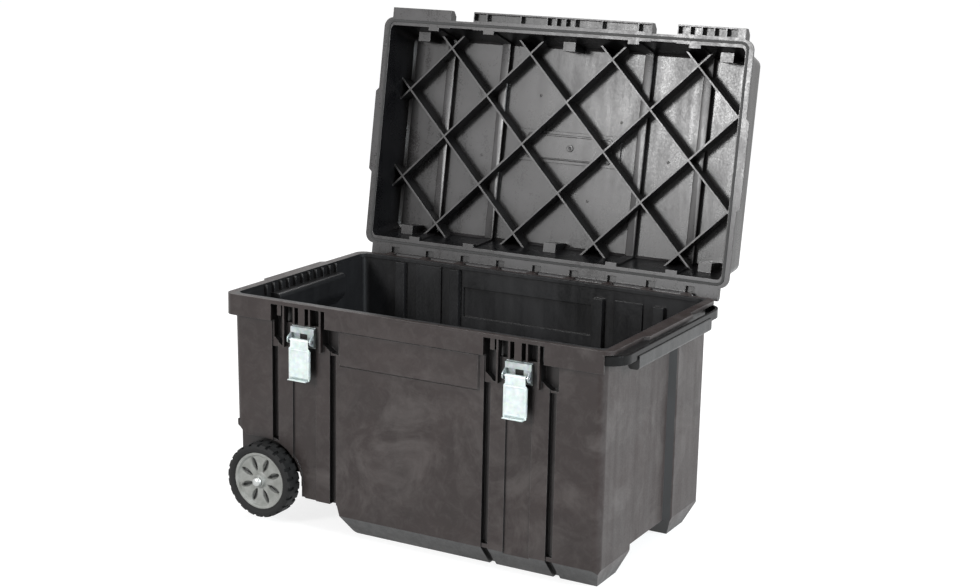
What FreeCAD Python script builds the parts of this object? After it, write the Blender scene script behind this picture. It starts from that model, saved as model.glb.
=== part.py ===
import FreeCAD, Part
import math
import os
import re
import Sketcher

# A wheeled jobsite storage box: foam-moulded tub, hinged lid standing open, two swing-up
# latches, two wheels on one axle and a pull-out handle.  Millimetres and degrees.
# Frame: +X is the handle end, -X the wheel end, -Y the latch side, +Y the hinge side,
# +Z up, z = 0 the ground, and the origin is on the middle foot of the tub.

SIZES = {
    # tub, outside
    "tub_half_length": 450,
    "tub_half_depth": 265,
    "end_draft": 7,
    "wall": 4.5,
    "tub_corner": 18,
    "rim_top": 510.5,
    "lip_thick": 8.5,
    "rim_half_length": 467,
    "rim_half_depth": 276,
    "rim_corner": 24,
    "rim_bulge": 10,
    "bulge_half": 112,
    "mouth_half_length": 446,
    "mouth_half_depth": 257,
    "band_bottom": 464,
    "band_thick": 3.2,
    # tub, underside
    "floor_thick": 5,
    "arch_rise": 45,
    "arch_flat_half": 105,
    "arch_foot_half": 133,
    "toe_height": 71,
    "toe_back": 178,
    "toe_front": 157,
    "toe_chamfer": 10,
    "toe_round": 12,
    "bevel_height": 48,
    "bevel_depth": 42,
    "end_bevel": 20,
    "skirt_corner_long": 34,
    "skirt_corner_tall": 27,
    "belly_height": 121,
    "cross_foot_half": 12,
    "cross_foot_pitch": 210,
    # grooves and panels
    "groove_inner": 188,
    "groove_outer": 338,
    "groove_width": 16,
    "groove_depth": 12,
    "plaque_half": 172,
    "plaque_bottom": 384,
    "plaque_proud": 5,
    "plaque_slope": 40,
    "panel_half": 30,
    "panel_recess": 4,
    "panel_top": 412,
    "rear_groove_top_left": 496,
    "rear_groove_top_right": 474.5,
    # latch recess in the rim, measured from the latch's own centre line
    "latch_centre": 262,
    "web_out": 47,
    "web_thick": 4,
    "pocket_depth": 19,
    "open_pocket_end": 80,
    "slot_end": 59,
    "shaded_pocket_end": 88,
    "pocket_foot": 410,
    "pocket_shoulder": 427,
    "bay_bottom": 464,
    "bay_depth": 12,
    "rib_out": 20,
    "rib_thick": 4,
    "bay_block_half": 8,
    "lump_height": 24,
    "lump_width": 10,
    # end recess and grip recess
    "end_recess_half": 112,
    "end_recess_slope": 20,
    "end_recess_depth": 15,
    "end_recess_top": 445,
    "grip_half": 128,
    "grip_roof": 482,
    "grip_foot": 415,
    "grip_depth": 29,
    "grip_round": 20,
    "comb_pitch": 28,
    "comb_thick": 3,
    # wheels and axle
    "axle_back": 363,
    "axle_height": 102,
    "axle_radius": 6,
    "wheel_radius": 83,
    "wheel_gap": 8,
    "wheel_face": 299,
    "wheel_width": 45,
    "well_floor": 243,
    "disc_radius": 64,
    "hub_radius": 15,
    "web_plate": 5,
    "tyre_side": 4,
    "tyre_shoulder": 4,
    "tread_depth": 4,
    "tread_width": 7,
    "tread_rib": 6,
    "slot_near": 27,
    "slot_far": 50,
    "slot_width": 6,
    "cap_radius": 11,
    "cap_length": 9,
    "cap_shoulder": 2,
    "cap_floor_gap": 0.2,
    "spacer_radius": 10,
    "boss_thick": 10,
    "boss_round": 15,
    "inner_boss": 80,
    "run_fit": 0.05,
    "side_play": 0.5,
    # hinge
    "hinge_depth": 299.6,
    "hinge_height": 504.3,
    "rod_radius": 3,
    "knuckle_radius": 6.5,
    "knuckle_width": 20,
    "knuckle_pitch": 97,
    "knuckle_gap": 1,
    "knuckle_clear": 0.1,
    "open_angle": 99,
    # lid, in its closed place
    "lid_gap": 1.5,
    "lid_height": 118,
    "lid_flange": 5,
    "lid_half_length": 477,
    "lid_half_depth": 276,
    "lid_bulge": 8,
    "lid_bulge_half": 95,
    "lid_foot_half_length": 463,
    "lid_foot_half_depth": 263.5,
    "lid_top_half_length": 457,
    "lid_top_half_depth": 243,
    "lid_corner": 20,
    "lid_edge_round": 10,
    "lid_groove_depth": 4,
    "lattice_pitch": 215,
    "lattice_rib": 4.5,
    "lattice_depth": 70,
    "badge_half_length": 130,
    "badge_half_depth": 33,
    "badge_recess": 4,
    "post_half_width": 16,
    "post_place": 395,
    "post_near": 226,
    "post_depth": 57,
    "lug_half_width": 14,
    "lug_near": 249,
    "lug_height": 12,
    # lid skirts
    "skirt_out": 300,
    "skirt_height": 26,
    "skirt_wall": 3.5,
    "skirt_slope": 12,
    "skirt_end": 455,
    "notch_half": 31,
    "divider_inner": 12,
    "divider_second": 36,
    "divider_third": 105,
    "divider_outer": 196,
    "cell_pitch": 29,
    "rear_skirt_out": 305,
    "rear_skirt_height": 14,
    # seal
    "seal_width": 5,
    "seal_half_length": 465.5,
    "seal_half_depth": 270.5,
    "seal_channel": 3,
    "seal_fit": 0.2,
    "seal_gap": 0.4,
    # latch
    "pin_out": 281,
    "pin_height": 432,
    "pin_radius": 2.2,
    "pin_head": 3.5,
    "pin_head_thick": 1.5,
    "pin_play": 0.1,
    "short_flat": 0.1,
    "sheet_metal": 1.8,
    "hasp_half": 26.5,
    "hasp_neck_half": 23,
    "hasp_step": 417,
    "hasp_flange": 3,
    "claw_length": 10.5,
    "claw_gap": 0.3,
    "curl_radius": 4.2,
    "bracket_half": 30,
    "bracket_foot": 415,
    "bracket_head": 461,
    "bracket_sheet": 2,
    "ear_round": 6,
    "bridge_out": 273.5,
    "bridge_foot": 446,
    "rivet_out": 19,
    "rivet_low": 421,
    "rivet_high": 454,
    "rivet_radius": 2,
    "rivet_head": 3.5,
    "rivet_head_thick": 1.5,
    "rivet_fit": 0.1,
    # pull-out handle
    "handle_out": 487,
    "bar_thick": 6,
    "bar_height": 19,
    "bar_corner": 50,
    "bar_side_gap": 0.8,
    "bar_floor_gap": 0.5,
    "channel_floor": 479.5,
    "channel_floor_thick": 5,
    "mouth_bar_bottom": 500,
    "mouth_bar_back": 442,
    "channel_mouth": 452,
    "handle_travel": 104,
    "stop_length": 10,
    "stop_top": 501.4,
    "grip_out": 490,
    "grip_back": 465,
    "grip_bottom": 459,
    "grip_top": 488,
    "grip_half_width": 190,
    "grip_edge": 7,
    "grip_fit": 0.2,
}

doc = FreeCAD.newDocument("storage_box")
sheet = doc.addObject("Spreadsheet::Sheet", "sizes")
for row, (alias, number) in enumerate(SIZES.items(), 1):
    sheet.set(f"A{row}", alias)
    sheet.set(f"B{row}", str(number))
    sheet.setAlias(f"B{row}", alias)
doc.recompute()

# Sizes that follow from the ones above, written once and used by name.
DERIVED = {
    "lip_bottom": "rim_top - lip_thick",
    "floor_top": "arch_rise + floor_thick",
    "arch_radius": "wheel_radius + wheel_gap",
    "well_top": "axle_height + arch_radius",
    "well_right": "axle_back - arch_radius",
    "lid_rim": "rim_top + lid_gap",
    "lid_top": "lid_rim + lid_height",
    "lid_ceiling": "lid_top - wall",
    "plate_in": "pin_out + pin_radius",
    "plate_out": "plate_in + sheet_metal",
    "claw_seat": "2 * pin_height - (lid_rim + lid_flange + claw_gap)",
    "wheel_back": "wheel_face - wheel_width",
    "axle_end": "wheel_face + cap_length / 2",
    "bar_bottom": "channel_floor + bar_floor_gap",
    "bar_outside": "rim_half_depth - band_thick - bar_side_gap",
    "bar_inside": "bar_outside - bar_thick",
    "stop_front": "mouth_bar_back - handle_travel - side_play",
    "arm_end": "stop_front - stop_length",
    "inner_depth": "tub_half_depth - wall",
    "inner_length": "tub_half_length - wall",
}
first_free = len(SIZES) + 1
for row, (alias, rule) in enumerate(DERIVED.items(), first_free):
    sheet.set(f"A{row}", alias)
    sheet.set(f"B{row}", "=" + rule)
    sheet.setAlias(f"B{row}", alias)
doc.recompute()

NAMES = set(SIZES) | set(DERIVED)
sub_parts = []


def rule(text):
    """Write a rule on named sizes as an expression that any object can hold."""
    return re.sub(r"[a-z_]+[a-z_0-9]*", lambda m: "sizes." + m[0] if m[0] in NAMES else m[0], str(text))


def number(text):
    """The present value of a rule on named sizes."""
    return float(sheet.evalExpression(rule(text)))


def bind(thing, prop, text):
    """Tie one property of an object to a rule on named sizes."""
    thing.setExpression(prop, rule(text))


def make_body(label):
    """Start a body that is one piece of the box."""
    body = doc.addObject("PartDesign::Body", label)
    body.Label = label
    body.AllowCompound = True
    return body


def origin_of(body, role):
    """One of the body's own origin planes or axes."""
    return next(item for item in body.Origin.OriginFeatures if item.Role == role)


def pin_point(sketch, shape, point, x, y):
    """Hold a point of the sketch at the place (x, y), each a rule on named sizes."""
    for kind, axis, text in (("DistanceX", -2, x), ("DistanceY", -1, y)):
        if str(text) == "0":
            sketch.addConstraint(Sketcher.Constraint("PointOnObject", shape, point, axis))
            continue
        held = sketch.addConstraint(Sketcher.Constraint(kind, -1, 1, shape, point, number(text)))
        bind(sketch, f"Constraints[{held}]", text)


def add_circle(sketch, x, y, radius):
    """Draw a circle whose centre and radius are rules."""
    centre = FreeCAD.Vector(number(x), number(y), 0)
    ring = sketch.addGeometry(Part.Circle(centre, FreeCAD.Vector(0, 0, 1), number(radius)))
    held = sketch.addConstraint(Sketcher.Constraint("Radius", ring, number(radius)))
    bind(sketch, f"Constraints[{held}]", radius)
    pin_point(sketch, ring, 3, x, y)


def corner_cut(before, here, after, radius):
    """Where a rounded corner leaves its two edges, its centre, and whether it turns left."""
    back = (before - here).normalize()
    ahead = (after - here).normalize()
    half_turn = back.getAngle(ahead) / 2
    reach = radius / math.tan(half_turn)
    middle = FreeCAD.Vector(back + ahead).normalize()
    centre = here + middle * (radius / math.sin(half_turn))
    return here + back * reach, here + ahead * reach, centre, ahead.cross(back).z > 0


def add_outline(sketch, corners):
    """Draw a closed outline.  A corner is (x, y) or (x, y, radius), each a rule."""
    count = len(corners)
    places = [FreeCAD.Vector(number(c[0]), number(c[1]), 0) for c in corners]
    starts = list(places)
    ends = list(places)
    arcs = {}
    for i, corner in enumerate(corners):
        if len(corner) == 3:
            cut = corner_cut(places[i - 1], places[i], places[(i + 1) % count], number(corner[2]))
            ends[i], starts[i] = cut[0], cut[1]
            arcs[i] = cut[2:]
    lines = [Part.LineSegment(starts[i], ends[(i + 1) % count]) for i in range(count)]
    first = sketch.addGeometry(lines)[0]
    for i, corner in enumerate(corners):
        before = first + (i - 1) % count
        after = first + i
        if i not in arcs:
            sketch.addConstraint(Sketcher.Constraint("Coincident", before, 2, after, 1))
            pin_point(sketch, after, 1, corner[0], corner[1])
            continue
        centre, left_turn = arcs[i]
        radius = number(corner[2])
        begin, finish = (ends[i], starts[i]) if left_turn else (starts[i], ends[i])
        angles = [math.atan2(p.y - centre.y, p.x - centre.x) for p in (begin, finish)]
        circle = Part.Circle(centre, FreeCAD.Vector(0, 0, 1), radius)
        arc = sketch.addGeometry(Part.ArcOfCircle(circle, angles[0], angles[1]))
        mark = sketch.addGeometry(Part.Point(places[i]), True)
        near, far = (1, 2) if left_turn else (2, 1)
        sketch.addConstraint([
            Sketcher.Constraint("Tangent", before, 2, arc, near),
            Sketcher.Constraint("Tangent", after, 1, arc, far),
            Sketcher.Constraint("PointOnObject", mark, 1, before),
            Sketcher.Constraint("PointOnObject", mark, 1, after),
        ])
        held = sketch.addConstraint(Sketcher.Constraint("Radius", arc, radius))
        bind(sketch, f"Constraints[{held}]", corner[2])
        pin_point(sketch, mark, 1, corner[0], corner[1])


def make_sketch(body, name, plane, height, loops):
    """A sketch on the body's own origin plane, moved along its normal by a rule.

    The XZ plane's normal points to -Y, so there a height is a distance towards the latches.
    """
    sketch = body.newObject("Sketcher::SketchObject", name + "_sketch")
    sketch.AttachmentSupport = [(origin_of(body, plane + "_Plane"), "")]
    sketch.MapMode = "FlatFace"
    bind(sketch, "AttachmentOffset.Base.z", height)
    for loop in loops:
        if isinstance(loop, tuple):
            add_circle(sketch, *loop)
        else:
            add_outline(sketch, loop)
    return sketch


def pad(body, name, plane, near, far, *loops, slope=None):
    """Add material between two distances along the plane's normal."""
    feature = body.newObject("PartDesign::Pad", name)
    feature.Profile = make_sketch(body, name, plane, near, loops)
    bind(feature, "Length", f"({far}) - ({near})")
    if slope:
        bind(feature, "TaperAngle", slope)
    return feature


def pocket(body, name, plane, near, far, *loops):
    """Take material away between two distances along the plane's normal."""
    feature = body.newObject("PartDesign::Pocket", name)
    feature.Profile = make_sketch(body, name, plane, near, loops)
    feature.Reversed = True
    bind(feature, "Length", f"({far}) - ({near})")
    return feature


def wall_pad(body, name, sign, near, far, loops):
    """A pad on the front wall (sign 1) or the rear wall (sign -1), between depths from the middle."""
    return pad(body, name, "XZ", *((near, far) if sign > 0 else (f"-({far})", f"-({near})")), *loops)


def wall_pocket(body, name, sign, near, far, loops):
    """A pocket in the front wall (sign 1) or the rear wall (sign -1)."""
    return pocket(body, name, "XZ", *((near, far) if sign > 0 else (f"-({far})", f"-({near})")), *loops)


def loft(body, name, kind, sections):
    """A loft through outlines on the XY plane, each given with its height."""
    drawn = [make_sketch(body, f"{name}_{i}", "XY", height, [outline])
             for i, (height, outline) in enumerate(sections)]
    feature = body.newObject("PartDesign::" + kind, name)
    feature.Profile = drawn[0]
    feature.Sections = drawn[1:]
    feature.Ruled = True
    return feature


def mirror(body, name, plane, features):
    """Repeat features on the other side of an origin plane."""
    feature = body.newObject("PartDesign::Mirrored", name)
    feature.Originals = features
    feature.MirrorPlane = (origin_of(body, plane + "_Plane"), [""])
    body.Tip = feature
    return feature


def repeat(body, name, features, length, count):
    """Repeat features along X, evenly over a length."""
    feature = body.newObject("PartDesign::LinearPattern", name)
    feature.Originals = features
    feature.Direction = (origin_of(body, "X_Axis"), [""])
    bind(feature, "Length", length)
    feature.Occurrences = count
    body.Tip = feature
    return feature


def spin_copies(body, name, features, count):
    """Repeat features evenly around the body's own Y axis."""
    feature = body.newObject("PartDesign::PolarPattern", name)
    feature.Originals = features
    feature.Axis = (origin_of(body, "Y_Axis"), [""])
    feature.Angle = 360
    feature.Occurrences = count
    body.Tip = feature
    return feature


def revolve(body, name, loops):
    """Turn a profile in the YZ plane about the body's own Y axis."""
    feature = body.newObject("PartDesign::Revolution", name)
    feature.Profile = make_sketch(body, name, "YZ", "0", loops)
    feature.ReferenceAxis = (origin_of(body, "Y_Axis"), [""])
    feature.Angle = 360
    return feature


def box_outline(x0, x1, y0, y1, radius=None):
    """The four corners of a rectangle, all rounded alike when a radius is given."""
    corners = [(x0, y0), (x1, y0), (x1, y1), (x0, y1)]
    return [corner + (radius,) for corner in corners] if radius else corners


def frame_outline(half_x, half_y, radius):
    """A rounded rectangle about the origin."""
    return box_outline(f"-({half_x})", half_x, f"-({half_y})", half_y, radius)


def bulged_frame(half_x, half_y, radius, bulge, bulge_half_width):
    """A rounded rectangle about the origin whose short ends swell outwards in the middle."""
    corners = [(f"-({half_x})", f"-({half_y})", radius), (half_x, f"-({half_y})", radius)]
    out = f"{half_x} + {bulge}"
    shoulder = f"{bulge_half_width} + {bulge}"
    corners += [(half_x, f"-({shoulder})"), (out, f"-({bulge_half_width})")]
    corners += [(out, bulge_half_width), (half_x, shoulder), (half_x, half_y, radius)]
    corners += [(f"-({half_x})", half_y, radius), (f"-({half_x})", shoulder)]
    corners += [(f"-({out})", bulge_half_width), (f"-({out})", f"-({bulge_half_width})")]
    return corners + [(f"-({half_x})", f"-({shoulder})")]


def place(thing, x="0", y="0", z="0"):
    """Put a piece at a place given by rules."""
    for axis, text in zip("xyz", (x, y, z)):
        bind(thing, f"Placement.Base.{axis}", text)


def keep(thing):
    """Note a finished piece of the box, to be written to its own file."""
    sub_parts.append(thing)
    return thing


LATCHES = ("-latch_centre", "latch_centre")
HINGE_EARS = 9
COMB_TEETH = 9
DISC_SLOTS = 8
TREAD_BLOCKS = 23
HANDLE_SIDE_CELLS = 5


def centred(count):
    """Whole steps on both sides of the middle, for an odd count."""
    return range(-(count // 2), count // 2 + 1)


# ---------------------------------------------------------------- tub

def round_uprights(body, name, feature, depth, radius):
    """Round the long upright edges that a feature has at the named half depth."""
    doc.recompute()
    half = number(depth)
    tall = number("lip_bottom - belly_height") / 2
    uprights = [
        f"Edge{i}" for i, edge in enumerate(feature.Shape.Edges, 1)
        if abs(abs(edge.CenterOfMass.y) - half) < 1 and edge.BoundBox.ZLength > tall
    ]
    rounding = body.newObject("PartDesign::Fillet", name)
    rounding.Base = (feature, uprights)
    bind(rounding, "Radius", radius)
    return rounding


def tub_shell(tub):
    """The hollow body: an elevation pulled through the depth, with a raised belly."""
    block = pad(tub, "tub_block", "XZ", "-tub_half_depth", "tub_half_depth", [
        ("-tub_half_length", "lip_bottom"),
        ("-(tub_half_length - end_draft)", "belly_height"),
        ("-well_right", "belly_height"),
        ("-well_right", "toe_height + toe_chamfer"),
        ("-(well_right - toe_chamfer)", "toe_height"),
        ("-toe_back", "toe_height"),
        ("-toe_front", "0", "toe_round"),
        ("tub_half_length", "0"),
        ("tub_half_length", "lip_bottom"),
    ])
    inside = pocket(tub, "tub_inside", "XZ", "-inner_depth", "inner_depth", [
        ("-inner_length", "rim_top"),
        ("-(inner_length - end_draft)", "belly_height + wall"),
        ("-(well_right - wall)", "belly_height + wall"),
        ("-(well_right - wall)", "toe_height + wall"),
        ("-(toe_back - wall / 2)", "toe_height + wall"),
        ("-(toe_back - toe_height + floor_top)", "floor_top"),
        ("inner_length - wall / 2", "floor_top"),
        ("inner_length", "rim_top"),
    ])
    inner = round_uprights(tub, "inner_corners", inside, "inner_depth", "tub_corner - wall")
    round_uprights(tub, "tub_corners", inner, "tub_half_depth", "tub_corner")
    pocket(tub, "long_bevels", "YZ", "-(tub_half_length + 1)", "tub_half_length + 1", *[[
        (f"{side}(tub_half_depth - bevel_depth)", "0"),
        (f"{side}tub_half_depth", "bevel_height"),
        (f"{side}(tub_half_depth + 1)", "bevel_height"),
        (f"{side}(tub_half_depth + 1)", "-1"),
        (f"{side}(tub_half_depth - bevel_depth)", "-1"),
    ] for side in ("", "-")])
    pocket(tub, "end_bevel", "XZ", "-(tub_half_depth + 1)", "tub_half_depth + 1", [
        ("tub_half_length - end_bevel", "0"),
        ("tub_half_length", "bevel_height"),
        ("tub_half_length + 1", "bevel_height"),
        ("tub_half_length + 1", "-1"),
        ("tub_half_length - end_bevel", "-1"),
    ])
    pocket(tub, "underside_arch", "YZ", "-tub_half_length", "tub_half_length", [
        ("-arch_foot_half", "0"),
        ("arch_foot_half", "0"),
        ("arch_flat_half", "arch_rise"),
        ("-arch_flat_half", "arch_rise"),
    ])
    trough = pocket(tub, "runner_trough", "YZ", "-(toe_front - wall)", "inner_length - tub_corner", [
        ("arch_foot_half + floor_thick", "floor_thick"),
        ("inner_depth - bevel_depth", "floor_thick"),
        ("inner_depth", "floor_top + 1"),
        ("arch_flat_half + floor_thick", "floor_top + 1"),
    ])
    mirror(tub, "runner_trough_pair", "XZ", [trough])
    foot = pad(tub, "middle_foot", "YZ", "-cross_foot_half", "cross_foot_half", [
        ("-arch_foot_half", "0"),
        ("arch_foot_half", "0"),
        ("arch_flat_half", "arch_rise"),
        ("-arch_flat_half", "arch_rise"),
    ])
    repeat(tub, "cross_feet", [foot], "cross_foot_pitch", 2)


def wheel_wells(tub):
    """Shallow wells beside the axle tunnel, with the bosses that carry the axle."""
    lining = pad(tub, "well_lining", "XZ", "well_floor - wall", "inner_depth + wall / 2", [
        ("-(inner_length - end_draft)", "belly_height"),
        ("-well_right", "belly_height"),
        ("-well_right", "axle_height - wall"),
        ("-(well_right - wall)", "axle_height - wall"),
        ("-(well_right - wall)", "well_top + wall", "arch_radius + wall"),
        ("-(inner_length - skirt_corner_long)", "well_top + wall"),
        ("-(inner_length - end_draft / 2)", "well_top + wall + skirt_corner_tall"),
    ])
    well = pocket(tub, "wheel_well", "XZ", "well_floor", "tub_half_depth + 1", [
        ("-(tub_half_length + wall)", "0"),
        ("-well_right", "0"),
        ("-well_right", "well_top", "arch_radius"),
        ("-(tub_half_length - skirt_corner_long)", "well_top"),
        ("-(tub_half_length + wall)", "well_top + skirt_corner_tall"),
    ])
    boss = pad(tub, "axle_boss", "XZ", "well_floor - boss_thick", "well_floor", [
        ("-(axle_back + 2 * boss_round)", "belly_height + 1"),
        ("-(axle_back + boss_round)", "axle_height - boss_round", "boss_round"),
        ("-(axle_back - boss_round)", "axle_height - boss_round", "boss_round"),
        ("-(axle_back - 2 * boss_round)", "belly_height + 1"),
    ], ("-axle_back", "axle_height", "axle_radius + run_fit"))
    inner = pad(tub, "inner_axle_boss", "XZ", "inner_boss - boss_thick", "inner_boss", [
        ("-(axle_back + 2 * boss_round)", "belly_height + 1"),
        ("-(axle_back + boss_round)", "axle_height - boss_round", "boss_round"),
        ("-(axle_back - boss_round)", "axle_height - boss_round", "boss_round"),
        ("-(axle_back - 2 * boss_round)", "belly_height + 1"),
    ], ("-axle_back", "axle_height", "axle_radius + run_fit"))
    mirror(tub, "rear_wheel_side", "XZ", [lining, well, boss, inner])


def wall_grooves(tub):
    """Upright grooves and panels in the long walls, which show as ridges inside the tub.

    Behind, they stop below the rim: at the handle's channel on the right, higher on the left.
    """
    feet = {
        "-groove_outer": "well_top + wall",
        "-groove_inner": "toe_height + floor_thick",
        "groove_inner": "bevel_height + floor_thick",
        "groove_outer": "bevel_height + floor_thick",
    }
    panel_feet = {"-latch_centre": "toe_height + wall / 2", "latch_centre": "bevel_height - wall / 2"}
    half = "groove_width / 2"
    wide = "(groove_width / 2 + wall)"
    seat = "inner_depth + wall / 2"
    clear = "tub_half_depth + 1"
    for side in ("front", "rear"):
        sign = 1 if side == "front" else -1
        ends = {x: "left" if x.startswith("-") else "right" for x in (*feet, *LATCHES)}
        tops = {x: "lip_bottom" if side == "front" else f"rear_groove_top_{end}" for x, end in ends.items()}
        closed = "0" if side == "front" else "wall"
        outline = [box_outline(f"{x} - {wide}", f"{x} + {wide}", foot, f"{tops[x]} + {closed}")
                   for x, foot in feet.items()]
        wall_pad(tub, f"{side}_ridges", sign, "inner_depth - groove_depth", seat, outline)
        outline = [box_outline(f"{x} - {half}", f"{x} + {half}", f"{foot} - floor_thick - 1", tops[x])
                   for x, foot in feet.items()]
        wall_pocket(tub, f"{side}_grooves", sign, "tub_half_depth - groove_depth", clear, outline)
        tops = dict.fromkeys(LATCHES, "panel_top") if side == "front" else tops
        outline = [box_outline(f"{x} - panel_half - wall", f"{x} + panel_half + wall",
                               panel_feet[x], f"{tops[x]} + wall") for x in LATCHES]
        wall_pad(tub, f"{side}_panel_ridges", sign, "inner_depth - panel_recess", seat, outline)
        outline = [box_outline(f"{x} - panel_half", f"{x} + panel_half", f"{panel_feet[x]} - wall", tops[x])
                   for x in LATCHES]
        wall_pocket(tub, f"{side}_panels", sign, "tub_half_depth - panel_recess", clear, outline)


def bevel_grooves(tub):
    """Where the two grooves beside the handle end run on under the tub, over its bevelled edge."""
    below = "floor_thick / 2"
    inner = "inner_depth - groove_depth"
    cut = "tub_half_depth - groove_depth"
    made = []
    for x in ("groove_inner", "groove_outer"):
        made.append(pad(tub, f"{x}_low_ridge", "YZ", f"{x} - groove_width / 2 - wall",
                        f"{x} + groove_width / 2 + wall", [
            ("inner_depth + wall / 2", "bevel_height + 2 * wall"),
            (inner, "bevel_height + 2 * wall"),
            (f"{inner} - bevel_depth", below),
            ("inner_depth + wall / 2 - bevel_depth", below),
            ("inner_depth + wall / 2", "bevel_height"),
        ]))
        made.append(pocket(tub, f"{x}_low_cut", "YZ", f"{x} - groove_width / 2", f"{x} + groove_width / 2", [
            (cut, "bevel_height"),
            (f"{cut} - bevel_depth", "0"),
            (f"{cut} - bevel_depth", "-1"),
            ("tub_half_depth + 1", "-1"),
            ("tub_half_depth + 1", "bevel_height"),
        ]))
    mirror(tub, "front_low_grooves", "XZ", made)


def make_rim(rim):
    """The lip round the mouth, and the band that hangs from it outside the wall."""
    pad(rim, "lip", "XY", "lip_bottom", "rim_top",
        bulged_frame("rim_half_length", "rim_half_depth", "rim_corner", "rim_bulge", "bulge_half"),
        frame_outline("mouth_half_length", "mouth_half_depth", "tub_corner"))
    inside = "rim_half_depth - band_thick"
    left = "latch_centre + open_pocket_end"
    reach = "inner_depth + wall / 2"
    wheel_end = [
        (f"-({left})", "-rim_half_depth"),
        (f"-({left})", f"-({reach})"),
        (f"-({left} + band_thick)", f"-({reach})"),
        (f"-({left} + band_thick)", f"-({inside})"),
        ("-(rim_half_length - band_thick)", f"-({inside})", "rim_corner - band_thick"),
        ("-(rim_half_length - band_thick)", inside, "rim_corner - band_thick"),
        ("channel_mouth", inside),
        ("channel_mouth", "rim_half_depth"),
        ("-rim_half_length", "rim_half_depth", "rim_corner"),
        ("-rim_half_length", "-rim_half_depth", "rim_corner"),
    ]
    middle = [
        ("-(latch_centre - slot_end)", "-rim_half_depth"),
        ("latch_centre - open_pocket_end", "-rim_half_depth"),
        ("latch_centre - open_pocket_end", f"-({reach})"),
        ("latch_centre - open_pocket_end - band_thick", f"-({reach})"),
        ("latch_centre - open_pocket_end - band_thick", f"-({inside})"),
        ("-(latch_centre - slot_end) + band_thick", f"-({inside})"),
        ("-(latch_centre - slot_end) + band_thick", f"-({reach})"),
        ("-(latch_centre - slot_end)", f"-({reach})"),
    ]
    handle_side = [
        ("latch_centre + slot_end", "-rim_half_depth"),
        ("channel_mouth", "-rim_half_depth"),
        ("channel_mouth", f"-({inside})"),
        ("latch_centre + slot_end + band_thick", f"-({inside})"),
        ("latch_centre + slot_end + band_thick", f"-({reach})"),
        ("latch_centre + slot_end", f"-({reach})"),
    ]
    pad(rim, "rim_band", "XY", "band_bottom", "lip_bottom", wheel_end, middle, handle_side)
    pad(rim, "handle_ledges", "XY", "channel_floor - channel_floor_thick", "channel_floor", *[
        box_outline("latch_centre + slot_end", "channel_mouth - tub_corner", y0, y1)
        for y0, y1 in ((f"-({inside} + 1)", f"-({reach})"), (reach, f"{inside} + 1"))])
    pad(rim, "mouth_bars", "XY", "mouth_bar_bottom", "lip_bottom", *[
        box_outline("mouth_bar_back", "channel_mouth", y0, y1)
        for y0, y1 in ((f"-({inside} + 1)", "-(inner_depth - wall)"),
                       ("inner_depth - wall", f"{inside} + 1"))])


def latch_recesses(tub):
    """The cut-aways in the front wall behind the latches."""
    deep = "tub_half_depth - pocket_depth"
    reach = "inner_depth + wall / 2"
    bay_back = "tub_half_depth - bay_depth"
    edge = "web_out + web_thick / 2"
    linings = []
    for x in LATCHES:
        linings.append(box_outline(f"{x} - open_pocket_end - wall", f"{x} - web_out + wall",
                                   "pocket_foot - wall", "lip_bottom"))
        linings.append(box_outline(f"{x} + web_out - wall", f"{x} + shaded_pocket_end + wall",
                                   "pocket_foot - wall", "lip_bottom"))
    pad(tub, "pocket_linings", "XZ", f"{deep} - wall", reach, *linings)
    pad(tub, "bay_linings", "XZ", f"{bay_back} - wall", reach, *[
        box_outline(f"{x} - web_out", f"{x} + web_out", "bay_bottom - wall", "lip_bottom")
        for x in LATCHES])
    pocket(tub, "open_pockets", "XZ", deep, "rim_half_depth - band_thick", *[[
        (f"{x} - ({edge})", "pocket_foot"),
        (f"{x} - ({edge})", "lip_bottom"),
        (f"{x} - open_pocket_end", "lip_bottom"),
        (f"{x} - open_pocket_end", "pocket_shoulder"),
        (f"{x} - web_out - 3 * web_thick", "pocket_foot"),
    ] for x in LATCHES])
    pocket(tub, "shaded_pockets", "XZ", deep, "tub_half_depth", *[[
        (f"{x} + {edge}", "pocket_shoulder"),
        (f"{x} + shaded_pocket_end - groove_width", "pocket_foot"),
        (f"{x} + shaded_pocket_end", "pocket_foot"),
        (f"{x} + shaded_pocket_end", "lip_bottom"),
        (f"{x} + {edge}", "lip_bottom"),
    ] for x in LATCHES])
    pocket(tub, "bays", "XZ", bay_back, "tub_half_depth + 1", *[
        box_outline(f"{x} - ({edge})", f"{x} + {edge}", "bay_bottom", "lip_bottom") for x in LATCHES])


def latch_webs(rim):
    """Upright webs, ribs and small blocks that hang from the rim round each latch."""
    deep = "tub_half_depth - pocket_depth"
    bay_back = "tub_half_depth - bay_depth"
    webs = [f"{x} {side} web_out" for x in LATCHES for side in "-+"]
    pad(rim, "webs", "XZ", "inner_depth", "rim_half_depth", *[
        box_outline(f"{x} - web_thick / 2", f"{x} + web_thick / 2", "pocket_foot", "lip_bottom")
        for x in webs])
    ribs = []
    for x in LATCHES:
        ribs.append(box_outline(f"{x} - bay_block_half", f"{x} + bay_block_half",
                                "bay_bottom", "lip_bottom"))
        for side in "-+":
            rib = f"{x} {side} rib_out"
            ribs.append(box_outline(f"{rib} - rib_thick / 2", f"{rib} + rib_thick / 2",
                                    "bay_bottom", "lip_bottom"))
    pad(rim, "bay_ribs", "XZ", f"{bay_back} - wall / 2", "rim_half_depth", *ribs)
    lump_right = "web_out + 2 * web_thick"
    pad(rim, "lumps", "XZ", f"{deep} - wall / 2", "rim_half_depth - band_thick", *[
        box_outline(f"{x} - ({lump_right}) - lump_width", f"{x} - ({lump_right})",
                    "lip_bottom - lump_height", "lip_bottom") for x in LATCHES])


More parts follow.
